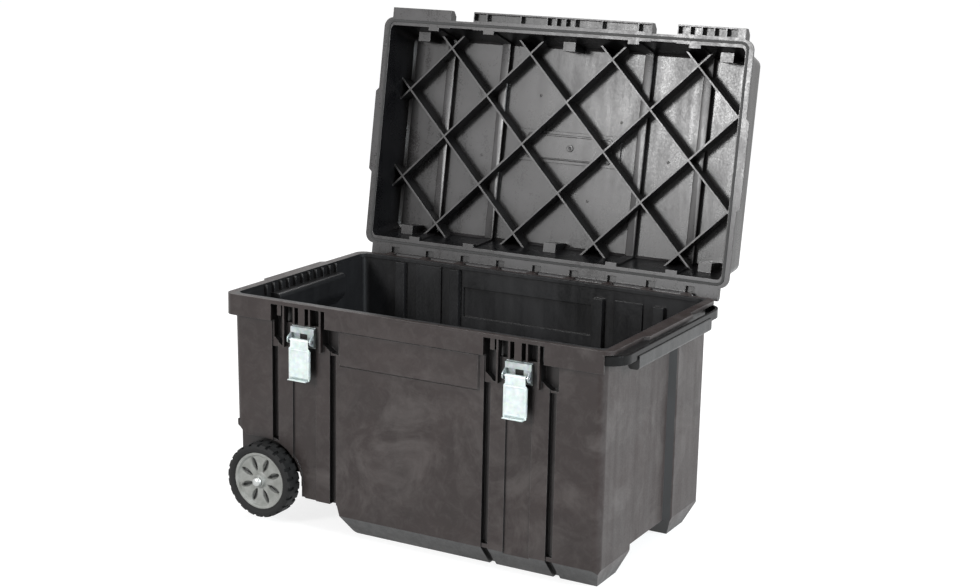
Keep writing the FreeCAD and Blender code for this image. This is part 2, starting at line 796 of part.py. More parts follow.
def end_features(tub):
    """The recessed end panel under the handle, and the hand grip in the wheel end."""
    half = "end_recess_half"
    pad(tub, "end_panel_lining", "XY", "floor_top - 1", "end_recess_top + wall", [
        ("inner_length + wall / 2", f"-({half} + wall)"),
        ("inner_length + wall / 2", f"{half} + wall"),
        ("inner_length - end_recess_depth", f"{half} + wall - end_recess_slope"),
        ("inner_length - end_recess_depth", f"-({half} + wall - end_recess_slope)"),
    ])
    pocket(tub, "end_panel", "XY", "0", "end_recess_top", [
        ("tub_half_length + 1", f"-({half})"),
        ("tub_half_length + 1", half),
        ("tub_half_length - end_recess_depth", f"{half} - end_recess_slope"),
        ("tub_half_length - end_recess_depth", f"-({half} - end_recess_slope)"),
    ])
    back = "tub_half_length - grip_depth"
    pad(tub, "grip_lining", "XZ", "-(grip_half + wall)", "grip_half + wall", [
        ("-(inner_length + 1)", "grip_roof + wall"),
        ("-(inner_length + 1)", "grip_foot - 2 * wall"),
        (f"-({back} - wall)", "grip_foot + grip_round", "grip_round + wall"),
        (f"-({back} - wall)", "grip_roof + wall", "grip_round / 2"),
    ])
    pocket(tub, "grip_recess", "XZ", "-grip_half", "grip_half", [
        ("-(tub_half_length + 1)", "grip_roof"),
        ("-(tub_half_length + 1)", "grip_foot - wall"),
        (f"-({back})", "grip_foot + grip_round", "grip_round"),
        (f"-({back})", "grip_roof", "grip_round / 3"),
    ])


def grip_comb(rim):
    """Short upright teeth between the rim band and the wheel-end wall, over the hand grip."""
    pad(rim, "comb", "XY", "grip_roof", "lip_bottom", *[
        box_outline("-(rim_half_length - band_thick / 2)", "-(inner_length + wall / 2)",
                    f"{i} * comb_pitch - comb_thick / 2", f"{i} * comb_pitch + comb_thick / 2")
        for i in centred(COMB_TEETH)])


def hinge_knuckles(rim):
    """Ears along the back rim that hold the hinge rod."""
    radius = "knuckle_radius - knuckle_clear"
    first = "-4 * knuckle_pitch"
    ear = pad(rim, "hinge_ear", "YZ", f"{first} - knuckle_width / 2", f"{first} + knuckle_width / 2", [
        ("rim_half_depth - band_thick", "hinge_height - knuckle_radius"),
        ("hinge_depth + knuckle_radius", "hinge_height - knuckle_radius", radius),
        ("hinge_depth + knuckle_radius", "hinge_height + knuckle_radius", radius),
        ("rim_half_depth - lip_thick", "hinge_height + knuckle_radius"),
        ("rim_half_depth - lip_thick", "rim_top - 1"),
        ("rim_half_depth - band_thick", "rim_top - 1"),
    ], ("hinge_depth", "hinge_height", "rod_radius + run_fit"))
    repeat(rim, "hinge_ears", [ear], f"{HINGE_EARS - 1} * knuckle_pitch", HINGE_EARS)


def make_plaques(walls):
    """The broad raised plate under the rim in front, hollow behind, and its twin at the rear."""
    plate = pad(walls, "front_plaque", "XZ", "tub_half_depth - 1", "tub_half_depth + plaque_proud",
                box_outline("-plaque_half", "plaque_half", "plaque_bottom", "band_bottom + 2"),
                slope="-plaque_slope")
    back = pocket(walls, "plaque_back", "XZ", "inner_depth", "inner_depth + plaque_proud", box_outline(
        "-(plaque_half - wall)", "plaque_half - wall", "plaque_bottom + wall", "band_bottom - wall"))
    mirror(walls, "rear_plaque", "XZ", [plate, back])


def make_tub():
    walls = make_body("tub_walls")
    tub_shell(walls)
    wall_grooves(walls)
    bevel_grooves(walls)
    wheel_wells(walls)
    latch_recesses(walls)
    make_plaques(walls)
    end_features(walls)
    pocket(walls, "rivet_holes", "XZ", "inner_depth - 1", "tub_half_depth + 1", *[
        (f"{x} + {dx}", z, "rivet_radius + rivet_fit") for x in LATCHES
        for dx in ("(-rivet_out)", "rivet_out") for z in ("rivet_low", "rivet_high")])
    rim = make_body("tub_rim")
    make_rim(rim)
    latch_webs(rim)
    grip_comb(rim)
    hinge_knuckles(rim)
    tub = doc.addObject("Part::MultiFuse", "tub")
    tub.Label = "tub"
    tub.Shapes = [walls, rim]
    tub.Refine = True
    return keep(tub)


# ---------------------------------------------------------------- axle and wheels

def make_axle():
    """The axle, its two spacer sleeves and its two push-on caps."""
    axle = make_body("axle")
    pad(axle, "axle_bar", "XZ", "-axle_end", "axle_end", ("0", "0", "axle_radius"))
    place(axle, "-axle_back", "0", "axle_height")
    keep(axle)
    spacers = make_body("axle_spacers")
    sleeve = pad(spacers, "spacer", "XZ", "well_floor + side_play", "wheel_back - side_play",
                 ("0", "0", "spacer_radius"), ("0", "0", "axle_radius + run_fit"))
    mirror(spacers, "rear_spacer", "XZ", [sleeve])
    place(spacers, "-axle_back", "0", "axle_height")
    keep(spacers)


def at_wheel(body, side):
    """Put a piece drawn about its own Y axis on the axle; the front ones are turned half round."""
    place(body, "-axle_back", "0", "axle_height")
    if side == "front":
        body.Placement.Rotation = FreeCAD.Rotation(FreeCAD.Vector(0, 0, 1), 180)
    keep(body)


def make_disc(side):
    """Grey wheel centre: hub, dished web with slots, and the drum that carries the tyre."""
    disc = make_body(f"wheel_disc_{side}")
    face = "wheel_face - tyre_side"
    back = "wheel_back + tyre_side"
    revolve(disc, "disc_profile", [[
        ("wheel_back", "axle_radius + run_fit"),
        ("wheel_face", "axle_radius + run_fit"),
        ("wheel_face", "hub_radius - 1"),
        ("wheel_face - 1", "hub_radius"),
        (f"{face} - web_plate", "hub_radius + web_plate"),
        (f"{face} - web_plate", "disc_radius - 2 * web_plate"),
        (face, "disc_radius - web_plate"),
        (face, "disc_radius"),
        (back, "disc_radius"),
        (back, "disc_radius - web_plate"),
        (f"{face} - 3 * web_plate", "disc_radius - web_plate"),
        (f"{face} - 2 * web_plate", "disc_radius - 2 * web_plate"),
        (f"{face} - 2 * web_plate", "hub_radius"),
        ("wheel_back", "hub_radius"),
    ]])
    slot = pocket(disc, "slot", "XZ", "-wheel_face - 1", "-(wheel_back - 1)", box_outline(
        "-slot_width / 2", "slot_width / 2", "slot_near", "slot_far"))
    spin_copies(disc, "slots", [slot], DISC_SLOTS)
    at_wheel(disc, side)


def make_tyre(side):
    """Black tyre with a block tread; an odd count sets the two rows half a block apart."""
    tyre = make_body(f"tyre_{side}")
    face = "wheel_face - tyre_side"
    back = "wheel_back + tyre_side"
    inside = "disc_radius + run_fit"
    revolve(tyre, "tyre_profile", [[
        (back, inside),
        (face, inside),
        ("wheel_face - tyre_side / 4", "disc_radius + tyre_side"),
        ("wheel_face", "disc_radius + 2 * tyre_side"),
        ("wheel_face", "wheel_radius - 2 * tyre_shoulder"),
        ("wheel_face - tyre_shoulder / 3", "wheel_radius - tyre_shoulder"),
        ("wheel_face - tyre_shoulder", "wheel_radius"),
        ("wheel_back + tyre_shoulder", "wheel_radius"),
        ("wheel_back + tyre_shoulder / 3", "wheel_radius - tyre_shoulder"),
        ("wheel_back", "wheel_radius - 2 * tyre_shoulder"),
        ("wheel_back", "disc_radius + 2 * tyre_side"),
        ("wheel_back + tyre_side / 4", "disc_radius + tyre_side"),
    ]])
    middle = "-(wheel_face + wheel_back) / 2"
    floor = "wheel_radius - tread_depth"
    outer = pocket(tyre, "outer_gap", "XZ", "-wheel_face - 1", f"{middle} - tread_rib / 2", box_outline(
        "-tread_width / 2", "tread_width / 2", floor, "wheel_radius + 1"))
    inner = pocket(tyre, "inner_gap", "XZ", f"{middle} + tread_rib / 2", "-wheel_back + 1", box_outline(
        "-tread_width / 2", "tread_width / 2", "-(wheel_radius + 1)", f"-({floor})"))
    spin_copies(tyre, "tread_gaps", [outer, inner], TREAD_BLOCKS)
    at_wheel(tyre, side)


def make_cap(side):
    """Bright domed cap pushed over the end of the axle."""
    cap = make_body(f"axle_cap_{side}")
    revolve(cap, "cap_profile", [[
        ("wheel_face + side_play", "axle_radius + run_fit"),
        ("axle_end + cap_floor_gap", "axle_radius + run_fit"),
        ("axle_end + cap_floor_gap", "0"),
        ("wheel_face + cap_length", "0"),
        ("wheel_face + cap_length", "cap_radius / 3"),
        ("wheel_face + cap_length - cap_shoulder", "cap_radius - cap_shoulder"),
        ("wheel_face + cap_length / 3", "cap_radius"),
        ("wheel_face + side_play", "cap_radius"),
    ]])
    at_wheel(cap, side)


# ---------------------------------------------------------------- lid and hinge

def swing_open(thing):
    """Turn a piece drawn on the closed box about the hinge, to where it stands open."""
    place(thing, "0", "hinge_depth - (hinge_depth * cos(open_angle) + hinge_height * sin(open_angle))",
          "hinge_height - (hinge_height * cos(open_angle) - hinge_depth * sin(open_angle))")
    thing.Placement.Rotation = FreeCAD.Rotation(FreeCAD.Vector(1, 0, 0), 1)
    bind(thing, "Placement.Rotation.Angle", "-open_angle")


def lid_arch(outset, foot):
    """Corners of the lid's cross-section, moved out by a rule, from one foot over the top."""
    return [
        (f"-(lid_foot_half_depth + {outset})", foot),
        (f"-(lid_top_half_depth + {outset})", "lid_top - lid_edge_round"),
        (f"-(lid_top_half_depth - lid_edge_round + {outset})", f"lid_top + {outset}"),
        (f"lid_top_half_depth - lid_edge_round + {outset}", f"lid_top + {outset}"),
        (f"lid_top_half_depth + {outset}", "lid_top - lid_edge_round"),
        (f"lid_foot_half_depth + {outset}", foot),
    ]


def lid_shell(lid):
    """Flange, tapered hollow form and the grooves that run over it."""
    flange_top = "lid_rim + lid_flange"
    pad(lid, "flange", "XY", "lid_rim", flange_top,
        bulged_frame("lid_half_length", "lid_half_depth", "rim_corner", "lid_bulge", "lid_bulge_half"))
    loft(lid, "form", "AdditiveLoft", [
        ("lid_rim + lid_flange / 2", frame_outline(
            "lid_foot_half_length", "lid_foot_half_depth", "lid_corner")),
        ("lid_top - lid_edge_round", frame_outline(
            "lid_top_half_length", "lid_top_half_depth", "lid_corner")),
        ("lid_top", frame_outline("lid_top_half_length - lid_edge_round",
                                  "lid_top_half_depth - lid_edge_round", "lid_corner - lid_edge_round")),
    ])
    loft(lid, "hollow", "SubtractiveLoft", [
        ("lid_rim", frame_outline("lid_foot_half_length - wall", "lid_foot_half_depth - wall",
                                  "lid_corner - wall")),
        ("lid_top - lid_edge_round", frame_outline(
            "lid_top_half_length - wall", "lid_top_half_depth - wall", "lid_corner - wall")),
        ("lid_ceiling", frame_outline("lid_top_half_length - lid_edge_round",
                                      "lid_top_half_depth - lid_edge_round", "lid_corner - lid_edge_round")),
    ])


def lid_grooves(lid):
    """Grooves that run up the front, over the top and down the back, with their inner ridges."""
    foot = "lid_rim + lid_flange"
    ridge = lid_arch("-wall / 2", foot) + lid_arch("-(lid_groove_depth + wall)", foot)[::-1]
    groove = lid_arch("wall", foot) + lid_arch("-lid_groove_depth", foot)[::-1]
    made = []
    for x in ("groove_inner", "groove_outer"):
        made.append(pad(lid, f"{x}_ridge", "YZ", f"{x} - groove_width / 2 - wall",
                        f"{x} + groove_width / 2 + wall", ridge))
        made.append(pocket(lid, f"{x}_cut", "YZ", f"{x} - groove_width / 2",
                           f"{x} + groove_width / 2", groove))
    mirror(lid, "left_grooves", "YZ", made)
    pocket(lid, "badge_recess", "XY", "lid_top - badge_recess", "lid_top + 1", box_outline(
        "-badge_half_length", "badge_half_length", "-badge_half_depth", "badge_half_depth"))


def lid_skirts(lid):
    """Hollow blocks along the front edge, with gaps for the latches, and the hinge skirt."""
    root = "lid_foot_half_depth - lid_groove_depth - wall / 2"
    front = [
        (f"-({root})", "lid_rim"),
        ("-skirt_out", "lid_rim"),
        ("-skirt_out", "lid_rim + skirt_height - skirt_slope"),
        ("-(skirt_out - skirt_slope)", "lid_rim + skirt_height"),
        (f"-({root})", "lid_rim + skirt_height"),
    ]
    notch_near = "latch_centre - notch_half"
    notch_far = "latch_centre + notch_half"
    side = pad(lid, "front_side_block", "YZ", notch_far, "skirt_end", front)
    mirror(lid, "front_side_blocks", "YZ", [side])
    pad(lid, "front_middle_block", "YZ", f"-({notch_near})", notch_near, front)
    back = [
        (root, "lid_rim"),
        ("rear_skirt_out", "lid_rim"),
        ("rear_skirt_out", "lid_rim + rear_skirt_height - skirt_slope / 2"),
        ("rear_skirt_out - skirt_slope / 2", "lid_rim + rear_skirt_height"),
        (root, "lid_rim + rear_skirt_height"),
    ]
    pad(lid, "hinge_skirt", "YZ", "-skirt_end", "skirt_end", back)
    dividers = ("divider_outer", "divider_third", "divider_second", "divider_inner")
    middle_stops = [f"-({notch_near})", *(f"-{x}" for x in dividers), *reversed(dividers), notch_near]
    handle_stops = [f"{notch_far} + {i} * cell_pitch" for i in range(HANDLE_SIDE_CELLS + 1)]
    cells = [
        box_outline(f"{x0} + skirt_wall / 2", f"{x1} - skirt_wall / 2",
                    "-(skirt_out - skirt_wall)", "-(lid_half_depth + skirt_wall)")
        for run in (middle_stops, handle_stops) for x0, x1 in zip(run, run[1:])]
    pocket(lid, "front_cells", "XY", "lid_rim", "lid_rim + skirt_height - skirt_slope", *cells)
    half = "knuckle_width / 2 + knuckle_gap"
    slots = [box_outline(f"{i} * knuckle_pitch - ({half})", f"{i} * knuckle_pitch + {half}",
                         "lid_half_depth + skirt_wall", "rear_skirt_out - skirt_wall")
             for i in centred(HINGE_EARS)]
    pocket(lid, "hinge_slots", "XY", "lid_rim", "lid_rim + rear_skirt_height - skirt_slope / 2", *slots)


def lid_knuckles(lid):
    """The lid's half of the hinge, between the tub's ears."""
    radius = "knuckle_radius - knuckle_clear"
    half = "(knuckle_pitch - knuckle_width) / 2 - knuckle_gap"
    first = "-3.5 * knuckle_pitch"
    knuckle = pad(lid, "lid_knuckle", "YZ", f"{first} - ({half})", f"{first} + {half}", [
        ("hinge_depth - knuckle_radius", "lid_rim + 1"),
        ("hinge_depth - knuckle_radius", "hinge_height - knuckle_radius", radius),
        ("hinge_depth + knuckle_radius", "hinge_height - knuckle_radius", radius),
        ("hinge_depth + knuckle_radius", "lid_rim + 1"),
    ])
    bore = pocket(lid, "lid_bore", "YZ", f"{first} - ({half})", f"{first} + {half}",
                  ("hinge_depth", "hinge_height", "rod_radius + run_fit"))
    repeat(lid, "lid_knuckles", [knuckle, bore], f"{HINGE_EARS - 2} * knuckle_pitch", HINGE_EARS - 1)


def lid_lattice():
    """Ribs at 45 degrees under the lid's top, with posts by the long walls and the badge step."""
    lattice = make_body("lattice_bars")
    top = "lid_ceiling + (wall - badge_recess) / 2"
    end = "lid_foot_half_depth"
    half = "lattice_rib / sqrt(2)"
    for name, turn in (("rising", 1), ("falling", -1)):
        bars = []
        for i in (-2.5, -1.5, -0.5, 0.5, 1.5, 2.5):
            low = f"{i} * lattice_pitch - ({turn}) * {end}"
            high = f"{i} * lattice_pitch + ({turn}) * {end}"
            bars.append([(f"{low} - {half}", f"-{end}"), (f"{low} + {half}", f"-{end}"),
                         (f"{high} + {half}", end), (f"{high} - {half}", end)])
        pad(lattice, f"{name}_bars", "XY", "lid_rim + lattice_depth", top, *bars)
    posts = [box_outline(f"{x} - post_half_width", f"{x} + post_half_width", y0, y1)
             for x in ("-post_place", "0", "post_place")
             for y0, y1 in ((f"-{end}", "-post_near"), ("post_near", end))]
    pad(lattice, "posts", "XY", "lid_rim + post_depth", top, *posts)
    pad(lattice, "badge_step", "XY", "lid_ceiling - badge_recess", top, box_outline(
        "-(badge_half_length + wall)", "badge_half_length + wall",
        "-(badge_half_depth + wall)", "badge_half_depth + wall"))
    lugs = [box_outline(f"{x} - lug_half_width", f"{x} + lug_half_width", y0, y1)
            for x in ("-groove_outer", "-groove_inner", "groove_inner", "groove_outer")
            for y0, y1 in ((f"-{end}", "-lug_near"), ("lug_near", end))]
    pad(lattice, "lugs", "XY", "lid_rim", "lid_rim + lug_height", *lugs)
    core = make_body("lid_core")
    loft(core, "core", "AdditiveLoft", [
        ("lid_rim", frame_outline("lid_foot_half_length - wall / 2", "lid_foot_half_depth - wall / 2",
                                  "lid_corner - wall / 2")),
        ("lid_top - lid_edge_round", frame_outline(
            "lid_top_half_length - wall / 2", "lid_top_half_depth - wall / 2", "lid_corner - wall / 2")),
        ("lid_ceiling + wall / 2", frame_outline("lid_top_half_length - lid_edge_round",
                                                 "lid_top_half_depth - lid_edge_round",
                                                 "lid_corner - lid_edge_round")),
    ])
    trimmed = doc.addObject("Part::MultiCommon", "trimmed_lattice")
    trimmed.Shapes = [lattice, core]
    trimmed.Refine = True
    return trimmed


def make_lid():
    shell = make_body("lid_shell")
    lid_shell(shell)
    lid_grooves(shell)
    lid_skirts(shell)
    lid_knuckles(shell)
    inside = "seal_half_length - seal_width - seal_fit"
    pocket(shell, "seal_channel", "XY", "lid_rim", "lid_rim + seal_channel",
           frame_outline("seal_half_length + seal_fit", "seal_half_depth + seal_fit", "tub_corner"),
           frame_outline(inside, "seal_half_depth - seal_width - seal_fit", "tub_corner - seal_width"))
    lid = doc.addObject("Part::MultiFuse", "lid")
    lid.Label = "lid"
    lid.Shapes = [shell, lid_lattice()]
    lid.Refine = True
    swing_open(lid)
    keep(lid)
    seal = make_body("lid_seal")
    pad(seal, "seal_ring", "XY", "rim_top + seal_gap", "lid_rim + seal_channel",
        frame_outline("seal_half_length", "seal_half_depth", "tub_corner"),
        frame_outline("seal_half_length - seal_width", "seal_half_depth - seal_width",
                      "tub_corner - seal_width"))
    swing_open(seal)
    keep(seal)
    rod = make_body("hinge_rod")
    reach = "4 * knuckle_pitch + knuckle_width / 2 + side_play"
    pad(rod, "rod_bar", "YZ", f"-({reach})", reach, ("0", "0", "rod_radius"))
    place(rod, "0", "hinge_depth", "hinge_height")
    keep(rod)


# ---------------------------------------------------------------- latches

def at_latch(body, side):
    """Put a latch piece, drawn on the tub's middle, at its own latch."""
    place(body, "-latch_centre" if side == "left" else "latch_centre")
    keep(body)


def make_bracket(side):
    """Riveted base plate with a window, two ears for the pin and a bridge above the hasp's knuckle."""
    bracket = make_body(f"latch_bracket_{side}")
    face = "tub_half_depth"
    pad(bracket, "base_plate", "XZ", face, f"{face} + bracket_sheet", box_outline(
        "-bracket_half", "bracket_half", "bracket_foot", "bracket_head"), box_outline(
        "-rivet_out / 2", "rivet_out / 2", "bracket_foot + ear_round", "bridge_foot"), *[
        (x, z, "rivet_radius + rivet_fit") for x in ("-rivet_out", "rivet_out")
        for z in ("rivet_low", "rivet_high")])
    ear = pad(bracket, "ear", "YZ", "bracket_half - bracket_sheet", "bracket_half", [
        (f"-({face} + bracket_sheet / 2)", "bracket_foot + bracket_sheet"),
        ("-(pin_out + ear_round)", "pin_height - ear_round", "ear_round - short_flat"),
        ("-(pin_out + ear_round)", "pin_height + ear_round", "ear_round - short_flat"),
        ("-bridge_out", "bridge_foot"),
        ("-bridge_out", "bracket_head - bracket_sheet"),
        (f"-({face} + bracket_sheet / 2)", "bracket_head - bracket_sheet"),
    ], ("-pin_out", "pin_height", "pin_radius + run_fit"))
    mirror(bracket, "other_ear", "YZ", [ear])
    pad(bracket, "bridge", "XZ", "bridge_out - bracket_sheet", "bridge_out", box_outline(
        "-(bracket_half - bracket_sheet / 2)", "bracket_half - bracket_sheet / 2",
        "bridge_foot", "bracket_head - bracket_sheet"))
    at_latch(bracket, side)


def make_rivets(side):
    """Four rivets through the bracket and the tub wall."""
    rivets = make_body(f"latch_rivets_{side}")
    spots = [(x, z) for x in ("-rivet_out", "rivet_out") for z in ("rivet_low", "rivet_high")]
    pad(rivets, "shanks", "XZ", "inner_depth - rivet_head_thick / 2",
        "tub_half_depth + bracket_sheet + rivet_head_thick / 2", *[(x, z, "rivet_radius") for x, z in spots])
    pad(rivets, "outer_heads", "XZ", "tub_half_depth + bracket_sheet",
        "tub_half_depth + bracket_sheet + rivet_head_thick", *[(x, z, "rivet_head") for x, z in spots])
    at_latch(rivets, side)


def make_pin(side):
    """The pin the hasp swings on, with a head outside each ear."""
    pin = make_body(f"latch_pin_{side}")
    end = "bracket_half + pin_play"
    pad(pin, "pin_bar", "YZ", f"-({end} + pin_head_thick)", f"{end} + pin_head_thick",
        ("-pin_out", "pin_height", "pin_radius"))
    head = pad(pin, "pin_head", "YZ", end, f"{end} + pin_head_thick", ("-pin_out", "pin_height", "pin_head"))
    mirror(pin, "other_pin_head", "YZ", [head])
    at_latch(pin, side)


def make_hasp(side):
    """Sheet-metal hasp: knuckle, neck, wide plate with folded edges, and the claw at its foot."""
    hasp = make_body(f"hasp_{side}")
    pad(hasp, "curl", "YZ", "-hasp_neck_half", "hasp_neck_half",
        ("-pin_out", "pin_height", "curl_radius"), ("-pin_out", "pin_height", "pin_radius + run_fit"))
    foot = "claw_seat - sheet_metal"
    pad(hasp, "plate", "XZ", "plate_in", "plate_out", [
        ("-hasp_half", foot, "hasp_flange"),
        ("hasp_half", foot, "hasp_flange"),
        ("hasp_half", "hasp_step - hasp_flange", "hasp_flange - short_flat"),
        ("hasp_neck_half", "hasp_step"),
        ("hasp_neck_half", "pin_height"),
        ("-hasp_neck_half", "pin_height"),
        ("-hasp_neck_half", "hasp_step"),
        ("-hasp_half", "hasp_step - hasp_flange", "hasp_flange - short_flat"),
    ])
    edge = pad(hasp, "folded_edge", "XZ", "plate_in - hasp_flange", "plate_in + sheet_metal / 2", box_outline(
        "hasp_half - sheet_metal", "hasp_half", "claw_seat + hasp_flange", "hasp_step - 2 * hasp_flange"))
    mirror(hasp, "other_folded_edge", "YZ", [edge])
    pad(hasp, "claw", "XZ", "plate_in", "plate_out + claw_length", box_outline(
        "-(hasp_half - hasp_flange)", "hasp_half - hasp_flange", foot, "claw_seat"))
    at_latch(hasp, side)


# ---------------------------------------------------------------- pull-out handle

def make_handle():
    """U-shaped bar in the rim's channels, its end stops, and the moulded grip."""
    bar = make_body("handle_bar")
    pad(bar, "u_bar", "XY", "bar_bottom", "bar_bottom + bar_height", [
        ("arm_end", "-bar_outside"),
        ("handle_out", "-bar_outside", "bar_corner"),
        ("handle_out", "bar_outside", "bar_corner"),
        ("arm_end", "bar_outside"),
        ("arm_end", "bar_inside"),
        ("handle_out - bar_thick", "bar_inside", "bar_corner - bar_thick"),
        ("handle_out - bar_thick", "-bar_inside", "bar_corner - bar_thick"),
        ("arm_end", "-bar_inside"),
    ])
    keep(bar)
    stops = make_body("handle_stops")
    pad(stops, "stop_heads", "XY", "bar_bottom + bar_height", "stop_top", *[
        box_outline("arm_end", "stop_front", y0, y1, "bar_thick / 4")
        for y0, y1 in (("-bar_outside", "-bar_inside"), ("bar_inside", "bar_outside"))])
    keep(stops)
    grip = make_body("handle_grip")
    pad(grip, "grip_form", "XZ", "-grip_half_width", "grip_half_width", [
        ("grip_back", "grip_bottom", "grip_edge"),
        ("grip_out", "grip_bottom", "grip_edge"),
        ("grip_out", "grip_top", "bar_thick / 4"),
        ("grip_back", "grip_top", "grip_edge"),
    ])
    pocket(grip, "bar_slot", "XZ", "-grip_half_width", "grip_half_width", box_outline(
        "handle_out - bar_thick - grip_fit", "handle_out + grip_fit", "bar_bottom - grip_fit", "grip_top + 1"))
    keep(grip)


# ---------------------------------------------------------------- everything together

make_tub()
make_axle()
for wheel_side in ("front", "rear"):
    make_disc(wheel_side)
    make_tyre(wheel_side)
    make_cap(wheel_side)
make_lid()
for latch_side in ("left", "right"):
    make_bracket(latch_side)
    make_rivets(latch_side)
    make_pin(latch_side)
    make_hasp(latch_side)
make_handle()
doc.recompute()


def check_objects():
    """Stop unless every object is sound, every pad adds and every pocket takes away."""
    faults = []
    volumes = {}
    for item in doc.Objects:
        if "Invalid" in item.State or "Error" in item.State:
            faults.append(f"{item.Name}: {item.getStatusString()}")
        if item.TypeId not in ("PartDesign::Pad", "PartDesign::Pocket"):
            continue
        volumes[item.Name] = item.Shape.Volume
        if item.BaseFeature is None:
            continue
        before = volumes.get(item.BaseFeature.Name, item.BaseFeature.Shape.Volume)
        change = volumes[item.Name] - before
        if (change < 0) != (item.TypeId == "PartDesign::Pocket") or abs(change) < 1:
            faults.append(f"{item.Name} changes the volume by {change:.1f}")
    for piece in sub_parts:
        if piece.Shape.isNull() or not piece.Shape.isValid() or not piece.Shape.Solids:
            faults.append(f"{piece.Label} has no sound shape")
    if faults:
        raise RuntimeError("; ".join(faults))


check_objects()
os.makedirs("parts", exist_ok=True)
for piece in sub_parts:
    piece.Shape.exportStep(f"parts/{piece.Label}.step")
    print(piece.Label, len(piece.Shape.Solids), round(piece.Shape.Volume / 1000, 1), "cm3")
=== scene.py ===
import math
import bpy
import bmesh
from mathutils import Matrix, Vector


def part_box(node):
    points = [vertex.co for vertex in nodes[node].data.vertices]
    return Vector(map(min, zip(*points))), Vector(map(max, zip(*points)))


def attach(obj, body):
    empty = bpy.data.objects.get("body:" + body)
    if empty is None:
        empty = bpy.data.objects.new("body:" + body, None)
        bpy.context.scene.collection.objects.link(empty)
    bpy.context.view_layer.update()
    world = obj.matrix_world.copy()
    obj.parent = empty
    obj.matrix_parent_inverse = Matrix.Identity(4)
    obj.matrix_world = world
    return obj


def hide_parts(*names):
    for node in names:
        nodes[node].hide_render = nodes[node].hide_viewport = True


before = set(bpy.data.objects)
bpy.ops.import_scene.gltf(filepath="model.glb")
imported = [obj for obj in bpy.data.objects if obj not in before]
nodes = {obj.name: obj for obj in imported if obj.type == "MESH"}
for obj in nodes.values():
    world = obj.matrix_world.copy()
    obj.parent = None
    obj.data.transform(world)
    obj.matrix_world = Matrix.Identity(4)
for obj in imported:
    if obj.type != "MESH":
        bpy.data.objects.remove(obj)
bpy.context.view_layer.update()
scene = bpy.context.scene

# ------------------------------------------------------------------ camera

CAMERA_AT = (1.8631, -3.3451, 1.3981)
YAW = math.radians(28.516)
DIP = math.radians(12.980)
ROLL = math.radians(1.2315)
FILM_WIDTH = 36.0
FOCAL_LENGTH = 65.73
FAR_LIMIT = 200.0

ahead = Vector((-math.sin(YAW) * math.cos(DIP), math.cos(YAW) * math.cos(DIP), -math.sin(DIP)))
flat_right = ahead.cross(Vector((0, 0, 1))).normalized()
flat_up = flat_right.cross(ahead)
right = flat_right * math.cos(ROLL) + flat_up * math.sin(ROLL)
up = flat_up * math.cos(ROLL) - flat_right * math.sin(ROLL)
lens = bpy.data.cameras.new("studio_camera")
lens.sensor_fit = "HORIZONTAL"
lens.sensor_width = FILM_WIDTH
lens.lens = FOCAL_LENGTH
lens.clip_end = FAR_LIMIT
camera = bpy.data.objects.new("studio_camera", lens)
scene.collection.objects.link(camera)
aim = Matrix((right, up, -ahead)).transposed().to_4x4()
camera.matrix_world = Matrix.Translation(CAMERA_AT) @ aim
scene.camera = camera
scene.view_settings.view_transform = "Standard"

# ------------------------------------------------------------------ floor and light

FLOOR_HALF = 60.0
WHITE = (1.0, 1.0, 1.0)
COOL_WHITE = (0.87, 0.955, 1.0)
MIDDLE = (0.0, 0.0, 0.45)
LID_PANEL = (0.3, 0.3, 0.8)
# Each light: name, where it is, what it looks at, side of its square, power, tint.
LIGHTS = (
    ("key_light", (4.2, -0.7, 2.0), MIDDLE, 1.6, 215.0, COOL_WHITE),
    ("back_light", (-0.4, 3.6, 3.3), MIDDLE, 1.6, 60.0, WHITE),
    ("left_fill", (-1.5, -4.4, 2.05), LID_PANEL, 1.0, 150.0, WHITE),
    ("top_light", (0.3, -0.6, 3.8), MIDDLE, 1.6, 45.0, WHITE),
)
SKY_STRENGTH = {"lit": 0.45, "seen": 1.0}
FLOOR_GLOW = {"lit": 0.12, "seen": 0.8}
FLOOR_TONE = 0.3
FLOOR_ROUGHNESS = 0.8

floor_mesh = bpy.data.meshes.new("floor")
sheet = bmesh.new()
bmesh.ops.create_grid(sheet, x_segments=1, y_segments=1, size=FLOOR_HALF)
sheet.to_mesh(floor_mesh)
sheet.free()
floor = bpy.data.objects.new("floor", floor_mesh)
scene.collection.objects.link(floor)


def soft_light(name, at, toward, size, power, tint):
    """A square area light that looks at a point."""
    data = bpy.data.lights.new(name, "AREA")
    data.shape = "SQUARE"
    data.size = size
    data.energy = power
    data.color = tint
    lamp = bpy.data.objects.new(name, data)
    scene.collection.objects.link(lamp)
    turn = (Vector(toward) - Vector(at)).to_track_quat("-Z", "Y")
    lamp.matrix_world = Matrix.Translation(at) @ turn.to_matrix().to_4x4()


for light in LIGHTS:
    soft_light(*light)


def seen_or_lit(tree, lit, seen):
    """One strength for light that falls on the object, another for what eye and gloss see."""
    ray = tree.nodes.new("ShaderNodeLightPath").outputs
    either = tree.nodes.new("ShaderNodeMath")
    either.operation = "MAXIMUM"
    tree.links.new(ray["Is Camera Ray"], either.inputs[0])
    tree.links.new(ray["Is Glossy Ray"], either.inputs[1])
    strength = tree.nodes.new("ShaderNodeMapRange")
    tree.links.new(either.outputs[0], strength.inputs["Value"])
    strength.inputs["To Min"].default_value = lit
    strength.inputs["To Max"].default_value = seen
    return strength.outputs["Result"]


world = bpy.data.worlds.new("studio")
world.use_nodes = True
sky = world.node_tree
sky.nodes["Background"].inputs["Color"].default_value = (*WHITE, 1.0)
sky.links.new(seen_or_lit(sky, **SKY_STRENGTH), sky.nodes["Background"].inputs["Strength"])
scene.world = world

# ------------------------------------------------------------------ materials

